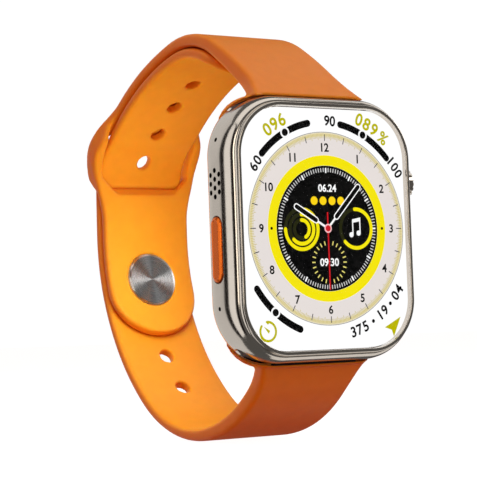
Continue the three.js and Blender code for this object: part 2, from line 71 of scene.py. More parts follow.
def cad_box(node):
    """The lowest and highest corners of a CAD node, in millimetres."""
    low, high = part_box(node)
    return low / MM, high / MM


CASE_LOW, CASE_HIGH = cad_box("case_frame")
GLASS_LOW, GLASS_HIGH = cad_box("front_glass")
PANEL_LOW, PANEL_HIGH = cad_box("display_panel")
COVER_LOW, COVER_HIGH = cad_box("back_cover")
CRYSTAL_LOW, CRYSTAL_HIGH = cad_box("sensor_crystal")
KNOB_FACE = cad_box("crown_knob")[1].x

# The case.
GLASS_FRONT = GLASS_LOW.y
HALF_WIDTH = -CASE_LOW.x
HALF_HEIGHT = CASE_HIGH.z
CORNER = 11.5
CORNER_STEPS = 40
CASE_BACK = COVER_HIGH.y - GLASS_FRONT
LIP = {"inner": 2.1, "outer": 1.4, "proud": 0.1, "round": 0.14}
FRONT_FILLET = {"inset": 1.3, "from": 0.8, "to": 4.2}
REAR_FILLET = 3.4
FILLET_STEPS = 14
LEDGE_DEPTH = 2.8
CAVITY = (18, 20.3, 9)
CAVITY_BACK = 7.8
COVER_OPENING = (14.8, 17.2, 9)
COVER_SEAT = (16.75, 19.35, 8)
COVER_CORNER = 7.85
CRYSTAL = {"rim": 10.3, "flat": 6}
WINDOWS = {"middle": 1.5, "small": 0.95, "ring": 4.1, "count": 8}
GASKET_DEPTH = 8.6
BOSS = {"radius": 1.9, "front": 4.6}
SCREW = {"x": 13.05, "z": 15.65, "head": 1.2, "shank": 0.55, "tip": 5.4, "room": 0.15, "bore": 7.6}
WALL = CAVITY[0]
FIT = 0.2
GUARD = {"face": 23.1, "z": -0.75, "length": 27.5, "width": 5.9, "depth": 6.25, "edge": 1.6}
CROWN = {"side": 1, "z": 9, "depth": 6.3, "radius": 3.3, "inner": 20.6, "teeth": 20}
ACTION = {"side": -1, "z": -3.6, "depth": 5.6, "length": 12, "width": 3.1, "face": 21.65,
          "thick": 1.25}
SIDE = {"side": 1, "z": -4.2, "depth": 6.3, "length": 10.5, "width": 2.9, "face": 23.3, "thick": 1.5}
BUTTON_TRAVEL = 0.35
STEM = 0.65
SEAL_RADIUS = 1.35
BUSH_RADIUS = 1.95
CHANNEL = {"radius": 1.7, "depth": 6.2, "z": 23.3}
WEB = {"half_x": 9.5, "near": 22, "far": 25.2, "deep": 0.7, "room": 0.2}
RELEASE = {"z": 22.6, "radius": 1.05, "from": 9}
PINHOLES = (  # side, distance past the wall, radius, depth, z
    (-1, 2, 0.4, 5.6, -14.3), (-1, 2, 0.4, 5.6, 16.4), (1, 4.6, 0.45, 5.2, -13.2),
)
SPEAKER = {"z": 8.4, "pitch": 1.6, "rows": (3, 4, 3), "depths": (4.3, 5.65, 7), "radius": 0.48}

# The band: the line between its layers, as arcs of a length and a turn in degrees.
LOOP_BACK = {"depth": 66.05, "z": 2}
UPPER_ARCS = ((13, 3), (9, 43), (30, 31), (15, 47), (15.5, 7))
LOWER_ARCS = ((14, 20), (24.5, 31), (20.5, 46), (24, 46))
UPPER_LENGTH = sum(length for length, turn in UPPER_ARCS)
LOWER_LENGTH = sum(length for length, turn in LOWER_ARCS)
ROOT_RUN = 5
STRAP = {"width": 21.2, "back_width": 20.7, "thick": 2.1, "root_thick": 3.4, "round": 0.8}
LAYER_GAP = 0.3
BAND_STEP = 0.8
SLOT = {"from": 10.7, "to": 24, "width": 21.4}
SLOT_CUT = {"reach": 3.2, "low": 0.2, "low_flare": 1.7, "high": 1.4, "high_flare": 0.5,
            "corner": 2.4, "corner_flare": 1.4, "top_corner": 1}
RAIL = {"past": 1, "rise": 1.8, "sunk": 0.1}
KEEPER = {"from": 3.5, "widest": 18.7, "to": 30, "width": 26.4}
ROOT_FLARE = 2.6
TONGUE = {"tip": -22.3, "round": 10}
TAIL = {"tip": 72, "round": 8}
TIP_STEPS = 16
PIN_STATION = -9.5
HOLE_PITCH = 8.7
HOLES = {"below": 3, "above": 6, "radius": 1.6}
DISC = {"radius": 5.7, "thick": 0.8, "recess": 0.6, "shank": 1.3, "head": 2.3}
COLLAR = {"proud": 0.6, "fade": 20, "front": 4.9, "back": 9.5, "front_x": 11.5, "back_x": 17.8,
          "thinned": 0.9, "inner_step": 3, "inner_z": 14}
LAP = 0.3

# The dial, measured from its own centre, with angles clockwise from twelve.
DIAL_X = 0.38
DIAL_STEP = 0.012
DIGIT_WEIGHT = 0.026
GAUGES = ((-46.5, -11, -27.2), (11, 47.5, 27.1), (-123.5, -158.9, -140.5))
GAUGE_RADIUS = 19.8
RIM_DIGITS = (  # text, height, distance from the middle, angle, angle between characters, tops inwards
    ("100", 2.0, 20.25, 54.6, 4.3, False),
    ("60", 2.0, 19.75, -53.3, 4.4, False),
    ("375", 2.05, 20, 160.8, 4.4, True),
    ("19", 2.05, 20, 142.5, 4.3, True),
    ("04", 2.05, 20, 127.4, 4.4, True),
)
LEFT_DIAL, RIGHT_DIAL, LOWER_DIAL = (-5.99, -0.13), (6.6, -0.03), (0.1, -6.28)
HANDS = ((-60.4, 3.1, 8.1), (43.5, 3.05, 10.75))  # angle, start and end of the bar
SMALL_RINGS = (  # centre, inner and outer radius, start and end of the yellow arc, sides of the track
    (LEFT_DIAL, 3.35, 4.05, 12, 270, 72),
    (LEFT_DIAL, 2.34, 3.06, 0, 225, 60),
    (LEFT_DIAL, 1.32, 2.02, 0, 150, 48),
    (RIGHT_DIAL, 3.28, 3.98, -3, 228, 72),
)
TIMER = (-14.38, -18.65)

# The camera, which sees the watch as the reference view does.
YAW, PITCH, ROLL = (math.radians(angle) for angle in (-34.44, -2.77, -2.08))
DISTANCE = 333.5
AIM_RIGHT, AIM_DOWN = 0.04957, -0.005619
LENS = 135.85

# The studio. A direction is an angle from the front of the watch towards its left, then a tilt upwards.
FILL, FILL_LIGHT = (1, 0.18, 0.03, 1), 0.34
ROOM_LIGHT = 0.11
INNER_LIGHT = {"place": (-8, 28, -3), "radius": 9, "power": 0.027, "colour": (0.88, 1, 0.86)}
WHITE, WARM = (1, 1, 1), (1, 0.93, 0.82)
SOFTBOXES = (  # name, angle, tilt, distance, size, radiance, colour, whether it lights matt surfaces
    ("top_box", 0, 84, 0.5, (0.7, 0.5), 1.0, WHITE, True),
    ("left_box", 102, 0, 0.5, (0.36, 1.3), 0.95, WHITE, False),
    ("rear_left_box", 165, 0, 0.5, (0.46, 1.2), 0.62, WHITE, True),
    ("front_box", 20, 14, 0.7, (0.42, 0.42), 2.3, WARM, True),
    ("right_box", -100, 25, 0.6, (0.5, 0.6), 0.9, WHITE, False),
    ("disc_box", -70, 19, 0.5, (0.22, 0.1), 4, WHITE, False),
    ("under_box", -80, -52, 0.5, (0.5, 0.5), 0.8, WHITE, False),
)
FLAGS = (  # name, angle, tilt, distance, size
    ("dark_rear_left", 130, 0, 0.45, (0.11, 1.0)),
    ("dark_left", 58, 0, 0.45, (0.2, 1.0)),
)
FLAG_TONE = 0.01
STAGE_SIZE = 2.6
STAGE_GLOW = {"floor": 0.97, "backdrop": 1.02}


# ---------------------------------------------------------------- meshes


def linear(red, green, blue):
    """An sRGB colour of 0 to 255 as linear values with alpha."""
    def one(value):
        value /= 255
        return value / 12.92 if value <= 0.04045 else ((value + 0.055) / 1.055) ** 2.4

    return (one(red), one(green), one(blue), 1)


def link(name, data):
    """A new object in the scene for a mesh, text, light or camera."""
    obj = bpy.data.objects.new(name, data)
    bpy.context.scene.collection.objects.link(obj)
    return obj


def clean(mesh, weld, turn=True):
    """Merges points closer than weld, and turns every face outwards unless told not to."""
    work = bmesh.new()
    work.from_mesh(mesh)
    if weld:
        bmesh.ops.remove_doubles(work, verts=work.verts, dist=weld)
    if turn:
        bmesh.ops.recalc_face_normals(work, faces=work.faces)
    work.to_mesh(mesh)
    work.free()


def solid(name, points, faces, weld=1e-7):
    """A mesh object from points in millimetres."""
    mesh = bpy.data.meshes.new(name)
    mesh.from_pydata([Vector(point) * MM for point in points], [], faces)
    clean(mesh, weld)
    return link(name, mesh)


def smooth(obj, angle=35):
    obj.data.shade_smooth()
    obj.data.set_sharp_from_angle(angle=math.radians(angle))
    return obj


def evaluated(obj):
    """A new mesh of an object with its modifiers or its text worked out."""
    graph = bpy.context.evaluated_depsgraph_get()
    graph.update()
    return bpy.data.meshes.new_from_object(obj.evaluated_get(graph))


def apply_modifiers(obj):
    mesh = evaluated(obj)
    obj.modifiers.clear()
    obj.data = mesh


def boolean(obj, operation, tools):
    """Joins, cuts or intersects obj with each tool in turn, and removes the tools."""
    for tool in tools:
        modifier = obj.modifiers.new("boolean", "BOOLEAN")
        modifier.operation = operation
        modifier.solver = "EXACT"
        modifier.object = tool
        apply_modifiers(obj)
        bpy.data.objects.remove(tool)
    return obj


def merged(name, objects):
    """One object that holds the meshes of several that don't touch."""
    work = bmesh.new()
    for obj in objects:
        obj.data.transform(obj.matrix_world)
        work.from_mesh(obj.data)
        bpy.data.objects.remove(obj)
    mesh = bpy.data.meshes.new(name)
    work.to_mesh(mesh)
    work.free()
    return link(name, mesh)


def loft(name, rings, closed=False):
    """Skins rings of equally many points. It is capped at both ends, or closed onto its first ring."""
    count = len(rings[0])
    points = [point for ring in rings for point in ring]
    faces = []
    spans = len(rings) if closed else len(rings) - 1
    for row in range(spans):
        first, second = row * count, (row + 1) % len(rings) * count
        for step in range(count):
            after = (step + 1) % count
            faces.append((first + step, first + after, second + after, second + step))
    if not closed:
        faces.append(tuple(range(count)))
        faces.append(tuple(range(len(points) - count, len(points))))
    return solid(name, points, faces)


def clamp(value):
    return min(max(value, 0), 1)


def ease(value, start, end):
    """A share from 0 to 1 that leaves and arrives gently."""
    share = clamp((value - start) / (end - start))
    return share * share * (3 - 2 * share)


def mix(a, b, share):
    return a + (b - a) * share


def quarter_turn(steps):
    """Angles from nought to a right angle."""
    return [math.pi / 2 * step / steps for step in range(steps + 1)]


def quarter(start, end, steps):
    """Points of a quarter ellipse from start to end, which leaves start along the first coordinate."""
    return [(mix(start[0], end[0], math.sin(angle)), mix(start[1], end[1], 1 - math.cos(angle)))
            for angle in quarter_turn(steps)]


def y_at(depth):
    return GLASS_FRONT + depth


def rounded_rect(half_x, half_y, radius, steps):
    """A rounded rectangle, anticlockwise from its right side."""
    points = []
    for corner, (sign_x, sign_y) in enumerate(QUARTERS):
        for step in range(steps + 1):
            angle = (corner + step / steps) * math.pi / 2
            points.append((sign_x * (half_x - radius) + radius * math.cos(angle),
                           sign_y * (half_y - radius) + radius * math.sin(angle)))
    return points


def rect_ring(size, depth):
    """A rounded rectangle in the plane of the screen."""
    return [(x, y_at(depth), z) for x, z in rounded_rect(*size, CORNER_STEPS)]


def case_ring(inset, depth):
    """The outline of the case, drawn in by an inset."""
    return rect_ring((HALF_WIDTH - inset, HALF_HEIGHT - inset, CORNER - inset), depth)


def circle(radius, sides):
    angles = [2 * math.pi * i / sides for i in range(sides)]
    return [(radius * math.cos(angle), radius * math.sin(angle)) for angle in angles]


def turned(name, profile, axis, centre, sides=48):
    """A turned piece: profile is [radius, reach along the axis], and centre is x, depth, z."""
    middle = Vector((centre[0], y_at(centre[1]), centre[2]))
    rings = []
    for radius, reach in profile:
        ring = []
        for a, b in circle(max(radius, 1e-3), sides):
            local = {"x": (reach, a, b), "y": (a, reach, b)}[axis]
            ring.append(middle + Vector(local))
        rings.append(ring)
    return loft(name, rings)


def rod(axis, radius, length, centre, sides=32):
    return turned("rod", [(radius, -length / 2), (radius, length / 2)], axis, centre, sides)


def pill(length, width, steps=16):
    """The outline of a pill that stands along Z, as (y, z) pairs."""
    radius, straight = width / 2, (length - width) / 2
    points = []
    for end, sign in ((0, 1), (1, -1)):
        for step in range(steps + 1):
            angle = math.pi * (end + step / steps)
            points.append((radius * math.cos(angle), sign * straight + radius * math.sin(angle)))
    return points


def pill_body(name, length, width, sections, side, depth, z):
    """A pill facing along X: sections are [inset, x], and side mirrors it."""
    rings = []
    for inset, x in sections:
        outline = pill(length - 2 * inset, width - 2 * inset)
        rings.append([(side * x, y_at(depth) + y, z + up) for y, up in outline])
    return loft(name, rings)


# ---------------------------------------------------------------- the case


def case_sections(grow=0):
    """The outside of the case as [inset, depth], from the inner edge of the lip to the rear plane."""
    lip, top = LIP, -LIP["proud"]
    fillet = FRONT_FILLET
    sections = [(lip["inner"], top + lip["round"])]
    sections += [(inset, depth) for depth, inset in quarter(
        (top + lip["round"], lip["inner"]), (top, lip["inner"] - lip["round"]), 4)]
    sections += quarter((lip["outer"] + 0.22, top), (lip["outer"], top + 0.22), 5)
    sections += [(lip["outer"], fillet["from"] - 0.2)]
    for angle in quarter_turn(FILLET_STEPS):
        reach = fillet["to"] - (fillet["to"] - fillet["from"]) * math.cos(angle)
        sections.append((fillet["inset"] * (1 - math.sin(angle)), reach))
    for angle in quarter_turn(FILLET_STEPS):
        reach = CASE_BACK - REAR_FILLET * (1 - math.sin(angle))
        sections.append((REAR_FILLET * (1 - math.cos(angle)), reach))
    return [(inset - grow, depth) for inset, depth in sections]


def case_rings(grow=0):
    return [case_ring(inset, depth) for inset, depth in case_sections(grow)]


def crown_guard():
    start = WALL + 0.6
    edge = GUARD["edge"]
    sections = [(0, start), (0, GUARD["face"] - edge)]
    sections += [(inset, x) for x, inset in quarter((GUARD["face"] - edge, 0), (GUARD["face"], edge), 10)]
    return pill_body("guard", GUARD["length"], GUARD["width"], sections, 1, GUARD["depth"], GUARD["z"])


def screw_places():
    return [(x * SCREW["x"], z * SCREW["z"]) for x, z in QUARTERS]


def screw_rods(radius, length, depth, sides=32):
    """A round bar on the axis of each screw."""
    return [rod("y", radius, length, (x, depth, z), sides) for x, z in screw_places()]


def button_pill(name, button, grow, sections):
    """A pill in the outline of a button, larger all round by grow."""
    return pill_body(name, button["length"] + 2 * grow, button["width"] + 2 * grow, sections,
                     button["side"], button["depth"], button["z"])


def button_rod(button, radius, length, x, sides=32):
    """A round bar on the axis of a button or the crown, with its middle at a distance x along it."""
    return rod("x", radius, length, (button["side"] * x, button["depth"], button["z"]), sides)


def button_pocket(button):
    floor = button["face"] - button["thick"] - BUTTON_TRAVEL - 0.1
    return button_pill("pocket", button, FIT, [(0, floor), (0, floor + 4)])


def wall_hole(side, past, radius, depth, z):
    """A small hole through a side of the case."""
    return rod("x", radius, 6, (side * (WALL + past), depth, z), 20)


def speaker_holes():
    holes = []
    for count, depth in zip(SPEAKER["rows"], SPEAKER["depths"]):
        for index in range(count):
            z = SPEAKER["z"] + (index - (count - 1) / 2) * SPEAKER["pitch"]
            holes.append(wall_hole(-1, 2, SPEAKER["radius"], depth, z))
    return holes


def case_frame():
    """The shell with its lip, ledge and cavity, the crown guard, the wells and the lug channels."""
    rings = case_rings() + [
        rect_ring(COVER_SEAT, CASE_BACK),
        rect_ring(COVER_SEAT, GASKET_DEPTH),
        rect_ring(COVER_OPENING, GASKET_DEPTH),
        rect_ring(COVER_OPENING, CAVITY_BACK),
        rect_ring(CAVITY, CAVITY_BACK),
        rect_ring(CAVITY, LEDGE_DEPTH),
        case_ring(LIP["inner"], LEDGE_DEPTH),
    ]
    shell = loft("case", rings, closed=True)
    length = GASKET_DEPTH - BOSS["front"]
    bosses = screw_rods(BOSS["radius"], length, GASKET_DEPTH - length / 2)
    boolean(shell, "UNION", [crown_guard(), merged("bosses", bosses)])
    bores = screw_rods(SCREW["shank"] + SCREW["room"], 5, SCREW["bore"], 16)
    crown_recess = button_rod(CROWN, CROWN["radius"] + FIT + 0.1, 8, CROWN["inner"] - 0.5 + 4, 64)
    channels = [rod("x", CHANNEL["radius"], 60, (0, CHANNEL["depth"], up * CHANNEL["z"]), 48)
                for up in (1, -1)]
    releases = [rod("y", RELEASE["radius"] + FIT, 6, (0, CHANNEL["depth"] + 3, up * RELEASE["z"]))
                for up in (1, -1)]
    bush = button_rod(CROWN, BUSH_RADIUS, 6, WALL)
    stems = [button_rod(button, STEM + FIT, 6, WALL + 2) for button in (ACTION, SIDE)]
    first = [button_pocket(ACTION), button_pocket(SIDE), crown_recess, *bores, *channels]
    pinholes = [wall_hole(*hole) for hole in PINHOLES]
    second = [*stems, *speaker_holes(), *pinholes, *releases, bush]
    third = [button_rod(button, SEAL_RADIUS, 2, WALL) for button in (ACTION, SIDE)]
    boolean(shell, "DIFFERENCE", [merged("wells", group) for group in (first, second, third)])
    return smooth(shell, 32)


def front_glass():
    inset = HALF_WIDTH - GLASS_HIGH.x
    back = GLASS_HIGH.y - GLASS_FRONT
    edge = 0.16
    sections = quarter((inset + edge, 0), (inset, edge), 4) + [(inset, back)]
    return smooth(loft("glass", [case_ring(*section) for section in sections]), 60)


def display_panel():
    inset = HALF_WIDTH - PANEL_HIGH.x
    front, back = PANEL_LOW.y - GLASS_FRONT, PANEL_HIGH.y - GLASS_FRONT
    return loft("display", [case_ring(inset, depth) for depth in (front, back)])


def back_cover():
    size = (COVER_HIGH.x, COVER_HIGH.z, COVER_CORNER)
    edge = 0.12
    softened = [value - edge for value in size]
    front = COVER_LOW.y - GLASS_FRONT
    cover = loft("cover", [
        rect_ring(size, front), rect_ring(size, CASE_BACK - edge), rect_ring(softened, CASE_BACK)])
    hole = rod("y", CRYSTAL_HIGH.x + 0.15, 6, (0, CASE_BACK, 0), 96)
    seats = screw_rods(SCREW["head"] + SCREW["room"], 2, CASE_BACK + 0.2)
    shanks = screw_rods(SCREW["shank"] + SCREW["room"], 4, CASE_BACK, 16)
    boolean(cover, "DIFFERENCE", [merged("seats", [hole, *seats]), merged("shanks", shanks)])
    return smooth(cover)


def sensor_crystal():
    """A low dome with a flat middle."""
    radius, rim, flat = CRYSTAL_HIGH.x, CRYSTAL["rim"], CRYSTAL["flat"]
    top = CRYSTAL_HIGH.y - GLASS_FRONT
    front = CRYSTAL_LOW.y - GLASS_FRONT
    profile = [(radius, front - top)]
    for angle in quarter_turn(24):
        profile.append((flat + (radius - flat) * math.cos(angle), (rim - top) * (1 - math.sin(angle))))
    return smooth(turned("crystal", profile, "y", (0, top, 0), 96), 40)


def sensor_pane(radius, x, z, sides):
    top = CRYSTAL_HIGH.y - GLASS_FRONT
    return turned("pane", [(radius, -0.01), (radius, 0.004)], "y", (x, top, z), sides)


def sensor_windows():
    """The round windows of the optical sensor, one in the middle and a ring round it."""
    ring, count = WINDOWS["ring"], WINDOWS["count"]
    angles = [2 * math.pi / count * (index + 0.5) for index in range(count)]
    panes = [sensor_pane(WINDOWS["middle"], 0, 0, 32)]
    panes += [sensor_pane(WINDOWS["small"], ring * math.cos(angle), ring * math.sin(angle), 24)
              for angle in angles]
    return merged("sensor_windows", panes)


def back_screw(number, x, z):
    head, shank = SCREW["head"], SCREW["shank"]
    profile = [(shank * 0.6, SCREW["tip"]), (shank, SCREW["tip"] + 0.5), (shank, CASE_BACK - 0.75)]
    profile += [(head, CASE_BACK - 0.75), (head, CASE_BACK - 0.15), (head - 0.15, CASE_BACK - 0.02)]
    piece = turned("screw_%d" % number, profile, "y", (x, 0, z), 32)
    drive = turned("drive", [(0.55, -0.45), (0.55, 0.3)], "y", (x, CASE_BACK, z), 6)
    return smooth(boolean(piece, "DIFFERENCE", [drive]))


def crown_knob():
    """Square-cut teeth round a disc, with a chamfered rim and a dished face."""
    radius, face = CROWN["radius"], KNOB_FACE
    root = radius - 0.42
    tooth = [(part, radius) for part in (0, 0.16, 0.34, 0.5)]
    tooth += [(part, root) for part in (0.56, 0.75, 0.94)]
    outline = [((number + part) / CROWN["teeth"] * 2 * math.pi, reach)
               for number in range(CROWN["teeth"]) for part, reach in tooth]
    middle = Vector((0, y_at(CROWN["depth"]), CROWN["z"]))
    rings = []
    for limit, x in ((radius - 0.3, CROWN["inner"]), (radius, CROWN["inner"] + 0.3), (radius, face - 0.35),
                     (radius - 0.12, face - 0.12), (radius - 0.4, face), (radius - 0.9, face),
                     (radius - 1.15, face - 0.2), (radius - 2.4, face - 0.24), (0.05, face - 0.24)):
        ring = [(angle, min(reach, limit)) for angle, reach in outline]
        rings.append([middle + Vector((x, reach * math.cos(angle), reach * math.sin(angle)))
                      for angle, reach in ring])
    return smooth(loft("crown", rings), 30)


def push_button(name, button):
    """A pill with a bevelled edge and a slightly sunk face, on its stem."""
    face, thick = button["face"], button["thick"]
    sections = [(0.15, face - thick), (0, face - thick + 0.15), (0, face - 0.5)]
    sections += [(0.12, face - 0.2), (0.55, face), (0.68, face), (0.78, face - 0.05)]
    cap = button_pill(name, button, 0, sections)
    inner = WALL - 0.9
    length = face - thick + 0.4 - inner
    stem = button_rod(button, STEM, length, inner + length / 2, 24)
    return smooth(boolean(cap, "UNION", [stem]), 25)


def release_button(label, up):
    """A round button that follows the rear fillet of the case, with a small hollow for a fingertip."""
    piece = rod("y", RELEASE["radius"], 3, (0, RELEASE["from"] + 1.5, up * RELEASE["z"]), 48)
    piece.name = label + "_release"
    return smooth(boolean(piece, "INTERSECT", [loft("case_solid", case_rings(-0.05))]), 30)


# ---------------------------------------------------------------- the band


def loop_point(station):
    """The loop's line at a station: its depth, z, and outward direction in depth and z."""
    up = -1 if station < 0 else 1
    arcs = UPPER_ARCS if up > 0 else LOWER_ARCS
    left, heading, depth, rise = abs(station), 0, LOOP_BACK["depth"], 0
    for length, turn in (*arcs, (ROOT_RUN * 4, 0)):
        run = min(left, length)
        bend = math.radians(turn) * run / length
        chord = run * math.sin(bend / 2) / (bend / 2) if bend else run
        depth -= chord * math.sin(heading + bend / 2)
        rise += chord * math.cos(heading + bend / 2)
        heading += bend
        left -= run
    return depth, LOOP_BACK["z"] + up * rise, math.cos(heading), up * math.sin(heading)


def on_loop(station, x, out):
    depth, z, out_depth, out_z = loop_point(station)
    return (x, y_at(depth) + out * out_depth, z + out * out_z)


def layer_offset(station):
    """Positive where the short strap is the outer layer."""
    side = 2 * ease(station, SLOT["from"] + 0.2, SLOT["to"] - 0.2) - 1
    return side * (STRAP["thick"] + LAYER_GAP) / 2


def half_thickness(station):
    return mix(STRAP["thick"], STRAP["root_thick"], ease(abs(station), 45, 82)) / 2


def half_width(station):
    return mix(STRAP["back_width"], STRAP["width"], ease(abs(station), 10, 60)) / 2


def root_flare(station, length):
    share = clamp((abs(station) - length + 5) / (ROOT_RUN + 5))
    return ROOT_FLARE * share**2


def tip_share(distance, run):
    share = clamp(distance / run)
    return max(math.sqrt(1 - (1 - share) ** 2), 0.02)


def upper_half_width(station):
    rise = ease(station, KEEPER["from"], KEEPER["widest"])
    fall = 1 - ease(station, KEEPER["widest"], KEEPER["to"])
    wide = half_width(station) + min(rise, fall) * (KEEPER["width"] / 2 - half_width(station))
    wide += root_flare(station, UPPER_LENGTH) if station > 0 else 0
    return wide * tip_share(station - TONGUE["tip"], TONGUE["round"])


def lower_half_width(station):
    wide = half_width(station) + (root_flare(station, LOWER_LENGTH) if station < 0 else 0)
    return wide * tip_share(TAIL["tip"] - station, TAIL["round"])


def spread(start, end, step, fine_start=0, fine_end=0):
    """Stations from start to end, closer together over a rounded tip at either end."""
    angles = quarter_turn(TIP_STEPS)
    stations = [start + fine_start * (1 - math.cos(angle)) for angle in angles[:-1]] if fine_start else []
    first, last = start + fine_start, end - fine_end
    count = round((last - first) / step)
    stations += [mix(first, last, i / count) for i in range(count + 1)]
    if fine_end:
        stations += [end - fine_end * (1 - math.sin(angle)) for angle in angles[1:]]
    return stations


def strap_section(half, thick):
    """A flat bar's section with round edges, as (x, out) pairs."""
    return rounded_rect(half, thick, min(STRAP["round"], half * 0.9), 5)


def strap_bar(name, stations, width_at, offset_at, thick_at):
    rings = []
    for station in stations:
        thick, offset = thick_at(station), offset_at(station)
        section = strap_section(width_at(station), thick)
        rings.append([on_loop(station, x, offset + out) for x, out in section])
    return loft(name, rings)


def loop_matrix(station):
    """A frame on the loop's line whose Z points out of the loop."""
    depth, z, out_depth, out_z = loop_point(station)
    out = Vector((0, out_depth, out_z))
    right = Vector((1, 0, 0))
    matrix = Matrix((right, out.cross(right), out)).transposed().to_4x4()
    matrix.translation = Vector((0, y_at(depth), z)) * MM
    return matrix


def spun(name, profile, sides=48):
    """A turned piece about its own Z: profile is [radius, height]."""
    return loft(name, [[(x, y, height) for x, y in circle(max(radius, 1e-3), sides)]
                       for radius, height in profile])


def loop_tool(station, profile, sides=32):
    tool = spun("tool", profile, sides)
    tool.data.transform(loop_matrix(station))
    return tool


def slot_cutter():
    """The slot's cutter flares towards the wrist side, where its lower edge has wide cut corners."""
    cut, top, half = SLOT_CUT, SLOT_CUT["top_corner"], SLOT["width"] / 2
    shares = [step / 8 for step in range(9)]
    levels = []
    for share in shares:
        out = mix(-cut["reach"], cut["reach"], share)
        flare = 1 - ease(out, -2.4, -0.2)
        low = SLOT["from"] + cut["low"] - cut["low_flare"] * flare
        high = SLOT["to"] - cut["high"] + cut["high_flare"] * flare
        corner = cut["corner"] + cut["corner_flare"] * flare
        outline = [(low, -half + corner), (low, half - corner), (low + corner, half)]
        outline += [(mix(low + corner, high - top, part), half) for part in shares[1:]]
        outline += [(high, half - top), (high, top - half)]
        outline += [(mix(high - top, low + corner, part), -half) for part in shares]
        levels.append([on_loop(station, x, out) for station, x in outline])
    return loft("slot", levels)


def keeper_rail(side):
    """One side of the slot, which is as thick as both layers where the long strap passes through."""
    outside = LAYER_GAP / 2 + STRAP["thick"]
    start, end = SLOT["from"] - RAIL["past"], SLOT["to"] + RAIL["past"]
    rings = []
    for station in spread(start, end, BAND_STEP):
        share = min(1, RAIL["rise"] * math.sin(math.pi * (station - start) / (end - start)))
        offset = layer_offset(station)
        low = mix(offset - STRAP["thick"] / 2, -outside, share) + RAIL["sunk"]
        high = mix(offset + STRAP["thick"] / 2, outside, share) - RAIL["sunk"]
        near, far = SLOT["width"] / 2, upper_half_width(station) - RAIL["sunk"]
        section = strap_section((far - near) / 2, (high - low) / 2)
        rings.append([on_loop(station, side * (x + (near + far) / 2), out + (low + high) / 2)
                      for x, out in section])
    return loft("rail", rings)


def collar(up):
    """Wraps the end of the case: narrow in front, and wide behind, where its wings hug the rear corners."""
    half = HALF_WIDTH - CORNER
    rings = []
    for step in range(11):
        share = step / 10
        depth = mix(COLLAR["front"], COLLAR["back"], share)
        limit = mix(COLLAR["front_x"], COLLAR["back_x"], math.sin(math.pi / 2 * share) ** 1.5)
        outline = []
        for index in range(81):
            x = limit * (1 - index / 40)
            z = HALF_HEIGHT - CORNER + math.sqrt(max(CORNER**2 - max(abs(x) - half, 0) ** 2, 0))
            swell = COLLAR["proud"] * (1 - (x / COLLAR["fade"]) ** 2) + LAP
            swell -= COLLAR["thinned"] * (abs(x) / COLLAR["back_x"]) ** 8
            length = math.hypot(x / 2, z)
            outline.append((x + swell * x / 2 / length, z + swell * z / length))
        inner = limit - COLLAR["inner_step"]
        outline += [(-inner, COLLAR["inner_z"]), (inner, COLLAR["inner_z"])]
        rings.append([(x, y_at(depth), up * z) for x, z in outline])
    return loft("collar", rings)


def lug_room(up):
    """The space in the strap's root for the web of the lug, which stands out of the case's channel."""
    half, near, far = WEB["half_x"] + WEB["room"], WEB["near"], WEB["far"] + WEB["room"]
    corners = ((-half, near), (half, near), (half, far), (-half, far))
    return loft("room", [[(x, y_at(depth), up * z) for x, z in corners]
                         for depth in (CHANNEL["depth"] - WEB["deep"], CHANNEL["depth"] + WEB["deep"])])


def finish_strap(bar, up, voxel):
    """Joins the collar, makes room for the case and lug, then melts the edges to a moulded softness."""
    boolean(bar, "UNION", [collar(up)])
    boolean(bar, "DIFFERENCE", [loft("case_solid", case_rings(LAP)), lug_room(up)])
    remesh = bar.modifiers.new("melt", "REMESH")
    remesh.mode = "VOXEL"
    remesh.voxel_size = voxel * MM
    apply_modifiers(bar)
    soften = bar.modifiers.new("soften", "SMOOTH")
    soften.factor = 0.5
    soften.iterations = 5
    apply_modifiers(bar)
    bar.data.shade_smooth()
    return bar


def disc_floor():
    """The floor of the disc's recess, out from the loop's line."""
    return -LAYER_GAP / 2 - STRAP["thick"] + DISC["recess"]


def upper_strap(voxel):
    stations = spread(TONGUE["tip"], UPPER_LENGTH + ROOT_RUN, BAND_STEP, fine_start=TONGUE["round"])
    bar = strap_bar("upper_strap_band", stations, upper_half_width,
                    lambda place: layer_offset(place) + half_thickness(place) - STRAP["thick"] / 2,
                    half_thickness)
    recess_radius = DISC["radius"] + 0.15
    recess = loop_tool(PIN_STATION, [(recess_radius, disc_floor() - 2), (recess_radius, disc_floor())])
    bore = loop_tool(PIN_STATION, [(DISC["shank"] + 0.2, -4), (DISC["shank"] + 0.2, 1)])
    boolean(bar, "DIFFERENCE", [slot_cutter(), recess, bore])
    boolean(bar, "UNION", [keeper_rail(side) for side in (1, -1)])
    return finish_strap(bar, 1, voxel)


def lower_strap(voxel):
    stations = spread(-LOWER_LENGTH - ROOT_RUN, TAIL["tip"], BAND_STEP, fine_end=TAIL["round"])
    bar = strap_bar("lower_strap_band", stations, lower_half_width,
                    lambda place: -layer_offset(place) + half_thickness(min(place, 0)) - STRAP["thick"] / 2,
                    lambda place: half_thickness(min(place, 0)))
    radius = HOLES["radius"]
    holes = [loop_tool(PIN_STATION + index * HOLE_PITCH, [(radius, -4), (radius, 4)])
             for index in range(-HOLES["below"], HOLES["above"] + 1)]
    boolean(bar, "DIFFERENCE", [merged("holes", holes)])
    return finish_strap(bar, -1, voxel)


def on_pin(name, profile, sides):
    """A turned piece on the closure's pin, which keeps its own Z along the pin."""
    obj = spun(name, profile, sides)
    obj.matrix_world = loop_matrix(PIN_STATION)
    return smooth(obj, 40)


